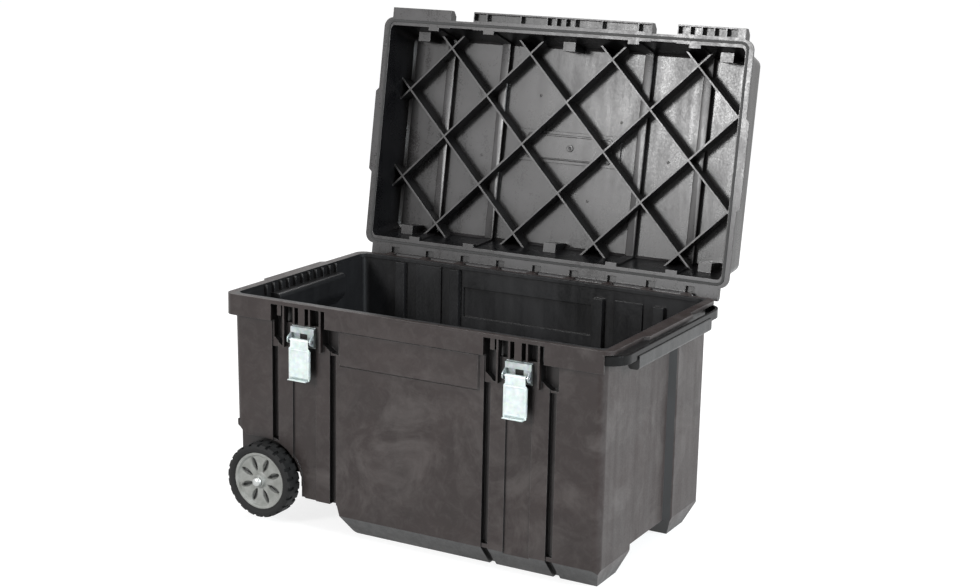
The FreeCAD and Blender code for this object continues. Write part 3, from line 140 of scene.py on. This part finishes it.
# The turn about its hinge that takes the closed lid to where it stands open.
HINGE = Vector((0.0, 0.2996, 0.5043))
LID_LEAN = math.radians(-99.0)
STANDING = (Matrix.Translation(HINGE) @ Matrix.Rotation(LID_LEAN, 4, "X")
            @ Matrix.Translation(-HINGE))
# Half length and half depth that hold the inner walls of the tub, and those of the closed lid.
TUB_ROOM = (0.4474, 0.2665)
LID_COVER = (0.4600, 0.2620)
# Distances along Y between which a wheel passes from the painted shade of its pockets to the tone
# of its face.
POCKET_LEVELS = (0.2845, 0.2895)

# The mix node repeats its sockets' names, so those for colours go by number.
MIX_AMOUNT, MIX_FIRST, MIX_SECOND, MIX_RESULT = 0, 6, 7, 2
RISING = (0.0, 1.0)
FALLING = (1.0, 0.0)
# Ranges over which masks change: how well the softened and the flat normal agree, how open a
# corner is, how far a face looks outward, and how far it looks up or down.
ROUNDING = (0.99, 0.9)
OPENNESS = (0.42, 0.88)
OUTWARD = (0.85, 0.88)
LEVEL = (0.4, 0.5)
WALL_BLUR = 0.0002
EDGE_SAMPLES = 4
CORNER_SAMPLES = 6


class Paint:
    """A material with a Principled shader and a few named helpers for its nodes."""

    def __init__(self, name, roughness, metallic=0.0, specular=0.5):
        self.material = bpy.data.materials.new(name)
        self.material.use_nodes = True
        self.tree = self.material.node_tree
        self.shader = self.tree.nodes["Principled BSDF"]
        self.shader.inputs["Roughness"].default_value = roughness
        self.shader.inputs["Metallic"].default_value = metallic
        self.shader.inputs["Specular IOR Level"].default_value = specular
        self.place = self.tree.nodes.new("ShaderNodeTexCoord").outputs["Object"]
        self.soft = None

    def feed(self, socket, value):
        """Link an input to a socket, or set it to a number, a vector or a colour."""
        if isinstance(value, bpy.types.NodeSocket):
            self.tree.links.new(value, socket)
        elif socket.type == "RGBA":
            socket.default_value = (*value, 1.0)
        else:
            socket.default_value = value

    def add(self, kind, **values):
        """A new node; keys that name inputs feed them, others set the node's own choices."""
        node = self.tree.nodes.new(kind)
        for key, value in values.items():
            socket = node.inputs.get(key.replace("_", " "))
            if socket is None:
                setattr(node, key, value)
            else:
                self.feed(socket, value)
        return node

    def reckon(self, operation, *values, kind="ShaderNodeMath"):
        """A value worked out from one or two others."""
        node = self.add(kind, operation=operation)
        for socket, value in zip(node.inputs, values):
            self.feed(socket, value)
        return node.outputs["Value"]

    def mapped(self, vector, **values):
        """Coordinates moved, turned or scaled."""
        return self.add("ShaderNodeMapping", Vector=vector, **values).outputs["Vector"]

    def noise(self, scale, detail, rough=0.5, distortion=0.0, vector=None):
        """Noise from 0 to 1 over the object."""
        return self.add("ShaderNodeTexNoise", Vector=vector or self.place, Scale=scale,
                        Detail=detail, Roughness=rough, Distortion=distortion).outputs["Fac"]

    def mottle(self, value, dark, light, between=(0.35, 0.65)):
        """Two colours that melt into each other as a value rises."""
        node = self.add("ShaderNodeValToRGB", Fac=value)
        for point, where, colour in zip(node.color_ramp.elements, between, (dark, light)):
            point.position = where
            point.color = (*colour, 1.0)
        return node.outputs["Color"]

    def blend(self, amount, first, second):
        """Mix of two colours, each a colour or a socket."""
        node = self.add("ShaderNodeMix", data_type="RGBA")
        for index, value in ((MIX_AMOUNT, amount), (MIX_FIRST, first), (MIX_SECOND, second)):
            self.feed(node.inputs[index], value)
        return node.outputs[MIX_RESULT]

    def span(self, value, source, target):
        """A value mapped from one range to another."""
        return self.add("ShaderNodeMapRange", Value=value, From_Min=source[0], From_Max=source[1],
                        To_Min=target[0], To_Max=target[1]).outputs["Result"]

    def colour(self, socket):
        """Give the surface its colour."""
        self.feed(self.shader.inputs["Base Color"], socket)

    def roughen(self, socket):
        """Give the surface its roughness."""
        self.feed(self.shader.inputs["Roughness"], socket)

    def bump(self, socket, strength, distance):
        """A fine relief on top of the softened edges."""
        node = self.add("ShaderNodeBump", Height=socket, Strength=strength, Distance=distance,
                        Normal=self.soft)
        self.feed(self.shader.inputs["Normal"], node.outputs["Normal"])

    def soften(self, radius):
        """Round off sharp edges in the shading."""
        rounded = self.add("ShaderNodeBevel", samples=EDGE_SAMPLES, Radius=radius)
        self.soft = rounded.outputs["Normal"]

    def edges(self):
        """1 on softened edges, 0 elsewhere."""
        flat = self.tree.nodes.new("ShaderNodeNewGeometry").outputs["Normal"]
        same = self.reckon("DOT_PRODUCT", self.soft, flat, kind="ShaderNodeVectorMath")
        return self.span(same, ROUNDING, RISING)

    def crevices(self, reach):
        """0 deep in corners and slots, 1 in the open."""
        node = self.add("ShaderNodeAmbientOcclusion", samples=CORNER_SAMPLES, Distance=reach)
        return self.span(node.outputs["AO"], OPENNESS, RISING)

    def place_and_facing(self, turn=None):
        """Place and direction of a face, each by axis; after a turn, as they were before it."""
        place = self.place
        facing = self.tree.nodes.new("ShaderNodeTexCoord").outputs["Normal"]
        if turn is not None:
            angles = turn.to_euler()
            place = self.mapped(place, vector_type="TEXTURE", Location=turn.to_translation(),
                                Rotation=angles)
            facing = self.mapped(facing, vector_type="TEXTURE", Rotation=angles)
        return [self.add("ShaderNodeSeparateXYZ", Vector=vector).outputs
                for vector in (place, facing)]

    def within(self, place, facing, half_length, half_depth):
        """1 on faces between four upright planes that don't look outward, 0 elsewhere."""
        between = []
        outward = []
        for axis, half in (("X", half_length), ("Y", half_depth)):
            distance = self.reckon("ABSOLUTE", place[axis])
            wall = (half - WALL_BLUR, half + WALL_BLUR)
            between.append(self.span(distance, wall, FALLING))
            product = self.reckon("MULTIPLY", place[axis], facing[axis])
            outward.append(self.span(product, (0.0, half), RISING))
        turned_in = self.span(self.reckon("ADD", *outward), OUTWARD, FALLING)
        return self.reckon("MULTIPLY", self.reckon("MULTIPLY", *between), turned_in)


# Lighter colour for edges: rubbed wear and a painted edge highlight.
EDGE_WEAR_AND_HIGHLIGHT = (0.16, 0.155, 0.15)
# Painted shade: the colour that deep corners, grooves and slots of moulded plastic turn to.
CORNER_SHADE = (0.0035, 0.003, 0.003)
# Painted shade for the surfaces inside the tub.
ROOM_SHADE_TONES = ((0.0050, 0.0050, 0.0055), (0.0105, 0.0105, 0.0115))
# Painted shade for the lid's outer walls, and for its inner walls and ribs.
COVER_SHADE_TONES = ((0.0095, 0.0080, 0.0078), (0.0170, 0.0145, 0.0140))
COVER_WALL_SHADE = (0.003, 0.003, 0.0035)
# Painted shade for the corners of zinc sheet.
ZINC_CORNER_SHADE = (0.16, 0.19, 0.19)
# Painted shade in the wheels' pockets.
POCKET_SHADE = (0.012, 0.013, 0.012)
SMUDGE_SHIFT = (0.40, 0.0, -0.06)


def scuffed(paint, base, smudge, amount):
    """Smudges that gather in some regions, speckle all over, and edges lightened partly as rubbed
    wear and partly as a painted highlight.
    """
    moved = paint.mapped(paint.place, Location=SMUDGE_SHIFT)
    patch = paint.noise(7.0, detail=8.0, rough=0.62, distortion=0.9, vector=moved)
    region = paint.noise(2.3, detail=2.0, distortion=0.4, vector=moved)
    region = paint.span(region, (0.47, 0.60), (0.12, 1.0))
    patch = paint.span(patch, (0.47, 0.62), (0.0, amount))
    base = paint.blend(paint.reckon("MULTIPLY", patch, region), base, smudge)
    speckle = paint.noise(34.0, detail=6.0, rough=0.7, distortion=0.6)
    base = paint.blend(paint.span(speckle, (0.46, 0.66), (0.0, amount * 0.4)), base, smudge)
    # Edges lightened here are partly rubbed wear and partly a painted highlight.
    wear_and_highlight = paint.span(paint.noise(60.0, detail=4.0), (0.35, 0.6), (0.15, 0.75))
    return paint.blend(paint.reckon("MULTIPLY", paint.edges(), wear_and_highlight), base, EDGE_WEAR_AND_HIGHLIGHT)


def shade_room(paint, base, swirl, room):
    """Painted shade: blacker colour, without the smudges, on the surfaces inside a room."""
    place, facing = paint.place_and_facing()
    return paint.blend(paint.within(place, facing, *room), base, paint.mottle(swirl, *ROOM_SHADE_TONES))


def shade_cover(paint, base, swirl, cover):
    """Painted shade: black inner walls and ribs in a cover that stands open, and darker walls
    outside.
    """
    place, facing = paint.place_and_facing(STANDING)
    not_up = paint.span(facing["Z"], LEVEL, FALLING)
    inner = paint.reckon("MULTIPLY", paint.within(place, facing, *cover), not_up)
    upright = paint.span(paint.reckon("ABSOLUTE", facing["Z"]), LEVEL, FALLING)
    base = paint.blend(paint.reckon("MULTIPLY", inner, upright), base, COVER_WALL_SHADE)
    outside = paint.reckon("MULTIPLY", paint.span(inner, RISING, FALLING), upright)
    return paint.blend(outside, base, paint.mottle(swirl, *COVER_SHADE_TONES))


def moulded(name, dark, light, smudge, roughness, smudge_amount=0.35, specular=0.5,
            room=None, cover=None):
    """Foam-moulded plastic: swirls, drawn streaks, scuffs, rubbed edges with painted highlights,
    and painted shade in corners, inside a room and on a standing cover.

    A room or a cover is given by its half length and half depth.
    """
    paint = Paint(name, roughness, specular=specular)
    paint.soften(0.0013)
    swirl = paint.noise(3.2, detail=6.0, rough=0.62, distortion=1.8)
    base = scuffed(paint, paint.mottle(swirl, dark, light), smudge, smudge_amount)
    if room is not None:
        base = shade_room(paint, base, swirl, room)
    if cover is not None:
        base = shade_cover(paint, base, swirl, cover)
    # Painted shade: darker colour deep in corners and slots.
    paint.colour(paint.blend(paint.crevices(0.045), CORNER_SHADE, base))
    drawn = paint.mapped(paint.place, Scale=(55.0, 55.0, 2.5))
    streak = paint.noise(1.0, detail=3.0, vector=drawn)
    fleck = paint.noise(260.0, detail=2.0)
    uneven = paint.reckon("ADD", paint.reckon("ADD", swirl, streak), fleck)
    paint.roughen(paint.span(uneven, (1.1, 1.9), (roughness - 0.08, roughness + 0.11)))
    paint.bump(paint.noise(900.0, detail=2.0), strength=0.1, distance=0.0004)
    return paint.material


def plain(name, dark, light, roughness, metallic=0.0, bump=0.08, specular=0.5, edge=0.0006):
    """An even material with slight mottling, softened edges and a fine surface."""
    paint = Paint(name, roughness, metallic, specular)
    paint.soften(edge)
    grain = paint.noise(60.0, detail=4.0)
    paint.colour(paint.mottle(grain, dark, light))
    paint.roughen(paint.span(grain, (0.3, 0.7), (roughness - 0.05, roughness + 0.06)))
    paint.bump(paint.noise(720.0, detail=2.0), strength=bump, distance=0.0004)
    return paint.material


def galvanised(name, dull, shiny):
    """Bright zinc sheet with faint spangle, drawing lines and painted shade in its corners."""
    paint = Paint(name, roughness=0.42, metallic=0.55)
    paint.soften(0.0006)
    spangle = paint.add("ShaderNodeTexVoronoi", Vector=paint.place, Scale=160.0).outputs["Color"]
    cloud = paint.noise(90.0, detail=5.0)
    base = paint.blend(0.05, paint.mottle(cloud, dull, shiny, (0.3, 0.7)), spangle)
    # Painted shade: darker colour in the corners.
    paint.colour(paint.blend(paint.crevices(0.006), ZINC_CORNER_SHADE, base))
    paint.roughen(paint.span(cloud, (0.3, 0.7), (0.34, 0.5)))
    drawn = paint.mapped(paint.place, Scale=(6.0, 6.0, 0.6))
    paint.bump(paint.noise(400.0, detail=2.0, vector=drawn), strength=0.1, distance=0.0003)
    return paint.material


def wheel_plastic(name):
    """Grey moulded plastic with painted shade deep in the pockets between the spokes."""
    paint = Paint(name, roughness=0.42)
    paint.soften(0.0008)
    grain = paint.noise(60.0, detail=4.0)
    face = paint.mottle(grain, (0.20, 0.205, 0.19), (0.27, 0.275, 0.26))
    across = paint.add("ShaderNodeSeparateXYZ", Vector=paint.place).outputs["Y"]
    outer = paint.span(paint.reckon("ABSOLUTE", across), POCKET_LEVELS, RISING)
    paint.colour(paint.blend(outer, POCKET_SHADE, face))
    paint.roughen(paint.span(grain, (0.3, 0.7), (0.36, 0.5)))
    paint.bump(paint.noise(700.0, detail=2.0), strength=0.08, distance=0.0003)
    return paint.material


def grey(tone):
    """A colour without a hue."""
    return (tone, tone, tone)


tub_plastic = moulded("tub_plastic", (0.0105, 0.0053, 0.0046), (0.0165, 0.0092, 0.0083),
                      smudge=(0.100, 0.088, 0.084), roughness=0.40, smudge_amount=0.36,
                      specular=0.42, room=TUB_ROOM)
# The lid is the same plastic as the tub, given a lighter colour: painted light for the lit panels
# of the open lid.
lit_lid_plastic = moulded("lit_lid_plastic", (0.020, 0.018, 0.018), (0.034, 0.032, 0.033),
                      smudge=(0.075, 0.074, 0.077), roughness=0.30, smudge_amount=0.25,
                      cover=LID_COVER)
grip_plastic = moulded("grip_plastic", grey(0.012), grey(0.02), smudge=grey(0.05), roughness=0.4)
zinc = galvanised("zinc_sheet", (0.54, 0.61, 0.60), (0.68, 0.74, 0.73))
dull_zinc = galvanised("dull_zinc", (0.30, 0.34, 0.34), (0.46, 0.50, 0.50))
steel = plain("drawn_steel", (0.42, 0.43, 0.45), (0.58, 0.59, 0.61), roughness=0.34, metallic=1.0)
bright = plain("bright_plate", (0.34, 0.35, 0.34), (0.46, 0.47, 0.46), roughness=0.36,
               metallic=0.8)
disc_grey = wheel_plastic("disc_grey")
tyre_black = plain("tyre_black", grey(0.005), grey(0.010), roughness=0.7, bump=0.2, specular=0.28)
rubber = plain("seal_rubber", grey(0.010), grey(0.016), roughness=0.6)
enamel = plain("black_enamel", grey(0.004), grey(0.006), roughness=0.18, bump=0.02, specular=0.14,
               edge=0.002)
spacer_black = plain("spacer_black", grey(0.015), grey(0.022), roughness=0.5)

FINISH = {
    "tub": tub_plastic,
    "lid": lit_lid_plastic,
    "lid_seal": rubber,
    "axle": steel,
    "axle_spacers": spacer_black,
    "axle_cap_front": bright,
    "axle_cap_rear": bright,
    "wheel_disc_front": disc_grey,
    "wheel_disc_rear": disc_grey,
    "tyre_front": tyre_black,
    "tyre_rear": tyre_black,
    "hinge_rod": steel,
    "latch_bracket_left": dull_zinc,
    "latch_bracket_right": dull_zinc,
    "latch_rivets_left": steel,
    "latch_rivets_right": steel,
    "latch_pin_left": steel,
    "latch_pin_right": steel,
    "hasp_left": zinc,
    "hasp_right": zinc,
    "handle_bar": enamel,
    "handle_stops": spacer_black,
    "handle_grip": grip_plastic,
}
for node, material in FINISH.items():
    piece = nodes[node]
    piece.data.materials.clear()
    piece.data.materials.append(material)

pale = Paint("pale_floor", FLOOR_ROUGHNESS)
pale.shader.inputs["Base Color"].default_value = (*grey(FLOOR_TONE), 1.0)
pale.shader.inputs["Emission Color"].default_value = (*WHITE, 1.0)
pale.feed(pale.shader.inputs["Emission Strength"], seen_or_lit(pale.tree, **FLOOR_GLOW))
floor.data.materials.append(pale.material)

# ------------------------------------------------------------------ pieces beside the solids

CORNER_SEGMENTS = 4
RIM_SEGMENTS = 3
SHARP = math.radians(35.0)


def bevel(shape, edges, offset, segments):
    """Round some edges of a shape."""
    bmesh.ops.bevel(shape, geom=edges, offset=offset, offset_type="OFFSET", affect="EDGES",
                    segments=segments, profile=0.5, material=-1)


def rounded_block(size, corner, draft, soft):
    """A block at the origin with round corners; its top is drawn in by the draft and softened."""
    length, width, height = size
    shape = bmesh.new()
    bmesh.ops.create_cube(shape, size=1.0)
    bmesh.ops.scale(shape, vec=size, verts=shape.verts)
    upright = [edge for edge in shape.edges
               if abs(edge.verts[0].co.z - edge.verts[1].co.z) > height / 2.0]
    bevel(shape, upright, corner, CORNER_SEGMENTS)
    top = [vert for vert in shape.verts if vert.co.z > 0.0]
    drawn_in = (1.0 - 2.0 * draft / length, 1.0 - 2.0 * draft / width, 1.0)
    bmesh.ops.scale(shape, vec=drawn_in, verts=top)
    rim = [edge for edge in shape.edges if all(vert.co.z > 0.0 for vert in edge.verts)]
    bevel(shape, rim, soft, RIM_SEGMENTS)
    return shape


def raised_border(size, corner, width, depth):
    """A rounded plate at the origin whose top is sunk inside a border."""
    height = size[2]
    shape = rounded_block(size, corner, draft=height / 4.0, soft=height / 5.0)
    top = max(shape.faces, key=lambda face: face.calc_center_median().z + face.calc_area())
    bmesh.ops.inset_region(shape, faces=[top], thickness=width, use_even_offset=True)
    bmesh.ops.inset_region(shape, faces=[top], thickness=depth * 0.8, depth=-depth,
                           use_even_offset=True)
    return shape


def turned(profile, steps, closed=False):
    """A profile of (radius, height) points turned about the upright axis, with its ends filled."""
    shape = bmesh.new()
    points = [shape.verts.new((radius, 0.0, height)) for radius, height in profile]
    lines = [shape.edges.new(pair) for pair in zip(points, points[1:])]
    if closed:
        lines.append(shape.edges.new((points[-1], points[0])))
    bmesh.ops.spin(shape, geom=points + lines, cent=(0.0, 0.0, 0.0), axis=(0.0, 0.0, 1.0),
                   angle=math.radians(360.0), steps=steps, use_merge=True)
    bmesh.ops.holes_fill(shape, edges=shape.edges, sides=0)
    bmesh.ops.recalc_face_normals(shape, faces=shape.faces)
    return shape


def finish_piece(name, shape, place, material, body):
    """Set a shape in its place as an object at the origin that rides on a body."""
    bmesh.ops.transform(shape, matrix=place, verts=shape.verts)
    for face in shape.faces:
        face.smooth = True
    mesh = bpy.data.meshes.new(name)
    shape.to_mesh(mesh)
    shape.free()
    mesh.set_sharp_from_angle(angle=SHARP)
    mesh.materials.append(material)
    piece = bpy.data.objects.new(name, mesh)
    scene.collection.objects.link(piece)
    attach(piece, body)
    return piece


# Height of the underside of the closed lid's top.
CEILING = 0.6255
CHANNEL_SIZE = (0.0248, 0.4764, 0.0126)
CHANNEL_HEIGHT = 0.6175
CHANNELS_X = (-0.338, -0.188, 0.188, 0.338)
BADGE_SIZE = (0.224, 0.062, 0.0027)
BADGE_HEIGHT = CEILING - 0.00485
BADGE_BOSS_X = 0.004
BADGE_BOSS_HEIGHT = CEILING - 0.004
BOSS_STEPS = 24
BOSS_ROOT = -0.0005
BOSS_LIP = 0.0003
BOSS_DISH = 0.0005
MARKS = ((-0.236, 0.036), (0.128, -0.072), (0.256, 0.010), (0.060, 0.120), (-0.090, -0.120))


def under_lid(x, y, z):
    """The place of a moulding whose top hangs down from the closed lid, moved to the open lid."""
    return STANDING @ Matrix.Translation((x, y, z)) @ Matrix.Rotation(math.radians(180.0), 4, "X")


def lid_boss(name, x, y, radius, height, root):
    """A small round moulding mark under the lid's top, with a dished end."""
    profile = ((radius, BOSS_ROOT), (radius, height), (radius * 0.8, height + BOSS_LIP),
               (radius * 0.45, height + BOSS_LIP), (radius * 0.3, height - BOSS_DISH))
    shape = turned(profile, BOSS_STEPS)
    finish_piece(name, shape, under_lid(x, y, root), lit_lid_plastic, "lid")


for index, x in enumerate(CHANNELS_X, 1):
    shape = rounded_block(CHANNEL_SIZE, corner=0.003, draft=0.0014, soft=0.0018)
    place = under_lid(x, 0.0, CHANNEL_HEIGHT)
    finish_piece(f"lid_channel_{index}", shape, place, lit_lid_plastic, "lid")

shape = raised_border(BADGE_SIZE, corner=0.007, width=0.0025, depth=0.0012)
finish_piece("lid_badge_frame", shape, under_lid(0.0, 0.0, BADGE_HEIGHT), lit_lid_plastic, "lid")
lid_boss("lid_badge_boss", BADGE_BOSS_X, 0.0, radius=0.008, height=0.004, root=BADGE_BOSS_HEIGHT)
for index, (x, y) in enumerate(MARKS, 1):
    lid_boss(f"lid_ejector_mark_{index}", x, y, radius=0.0034, height=0.0007, root=CEILING)

COMB_TEETH = 11
COMB_PITCH = 0.028
TOOTH_SIZE = (0.0106, 0.0032, 0.0232)
FIRST_TOOTH = (-0.4422, -0.154, 0.4966)

for index in range(COMB_TEETH):
    shape = rounded_block(TOOTH_SIZE, corner=0.0008, draft=0.0004, soft=0.0009)
    x, y, z = FIRST_TOOTH
    place = Matrix.Translation((x, y + COMB_PITCH * index, z))
    finish_piece(f"grip_comb_tooth_{index + 1}", shape, place, tub_plastic, "base")

# Pockets run outward along the web, and each has a slot along its middle. A bank is the width
# over which a pocket or a slot falls to its full depth.
SPOKE_ANGLE = math.radians(45.0)
POCKET_START = 0.0205
POCKET_LENGTH = 0.034
POCKET_HALF_WIDTH = 0.0070
POCKET_BANK = 0.002
POCKET_DEPTH = 0.0042
LEAF_SKEW = 1.25
LEAF_FULLNESS = 0.6
SLOT_FROM, SLOT_TO = 0.15, 0.9
SLOT_HALF_WIDTH = 0.0022
SLOT_BANK = 0.001
SLOT_EXTRA = 0.7
# The wheel's section as (radius, height) points, with heights from its outer face. The pockets
# press in the points of the web's face, and those no further below it than the margin.
WHEEL_STEPS = 192
BORE = 0.0062
RIM = 0.0640
WEB_FACE = -0.0090
WEB_BACK = -0.019
RIM_BACK = -0.041
HUB_BACK = -0.045
WEB_START = 0.0212
WEB_STEP = 0.0021
WEB_STEPS = 17
FACE_MARGIN = 0.0005
HUB_PROFILE = [(BORE, 0.0), (0.0125, 0.0), (0.0135, -0.0006), (0.0142, -0.0018),
               (0.0155, -0.0060), (0.0175, -0.0082), (0.0198, WEB_FACE)]
RIM_PROFILE = [(0.0556, -0.0084), (0.0572, -0.0060), (0.0585, -0.0045), (0.0600, -0.0040),
               (0.0632, -0.0040), (RIM, -0.0046)]
BACK_PROFILE = [(RIM, RIM_BACK), (0.0590, RIM_BACK), (0.0570, WEB_BACK), (0.0170, WEB_BACK),
                (0.0150, HUB_BACK), (BORE, HUB_BACK)]


def pocket_depth(radius, angle):
    """How deep the web is pressed in at a place: 0 on a spoke, 1 in a pocket, 1.7 in its slot."""
    off = abs((angle / SPOKE_ANGLE) % 1.0 - 0.5) * SPOKE_ANGLE * radius
    along = (radius - POCKET_START) / POCKET_LENGTH
    if not 0.0 < along < 1.0:
        return 0.0
    wide = POCKET_HALF_WIDTH * math.sin(math.pi * along ** LEAF_SKEW) ** LEAF_FULLNESS
    depth = min(1.0, max(0.0, (wide - off) / POCKET_BANK))
    if SLOT_FROM < along < SLOT_TO:
        depth += SLOT_EXTRA * min(1.0, max(0.0, (SLOT_HALF_WIDTH - off) / SLOT_BANK))
    return depth


def wheel_centre(side, quarter):
    """Dished wheel centre with eight leaf pockets; it stands for the plain disc."""
    low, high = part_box(f"wheel_disc_{side}")
    web = [(WEB_START + WEB_STEP * step, WEB_FACE) for step in range(WEB_STEPS)]
    shape = turned(HUB_PROFILE + web + RIM_PROFILE + BACK_PROFILE, WHEEL_STEPS, closed=True)
    for vert in shape.verts:
        if vert.co.z > WEB_FACE - FACE_MARGIN:
            angle = math.atan2(vert.co.y, vert.co.x)
            vert.co.z -= POCKET_DEPTH * pocket_depth(vert.co.xy.length, angle)
    outside = high[1] if quarter < 0.0 else low[1]
    place = (Matrix.Translation(((low[0] + high[0]) / 2.0, outside, (low[2] + high[2]) / 2.0))
             @ Matrix.Rotation(math.radians(quarter), 4, "X"))
    piece = finish_piece(f"wheel_centre_{side}", shape, place, disc_grey, f"{side}_wheel")
    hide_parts(f"wheel_disc_{side}")


wheel_centre("front", 90.0)
wheel_centre("rear", -90.0)

PRESSING_SIZE = (0.049, 0.064, 0.0011)
PRESSING_Y = -0.28525
PRESSING_HEIGHT = 0.3815

for side, x in (("left", -0.262), ("right", 0.262)):
    shape = raised_border(PRESSING_SIZE, corner=0.004, width=0.003, depth=0.00055)
    place = (Matrix.Translation((x, PRESSING_Y, PRESSING_HEIGHT))
             @ Matrix.Rotation(math.radians(90.0), 4, "X"))
    finish_piece(f"hasp_pressing_{side}", shape, place, zinc, f"{side}_hasp")
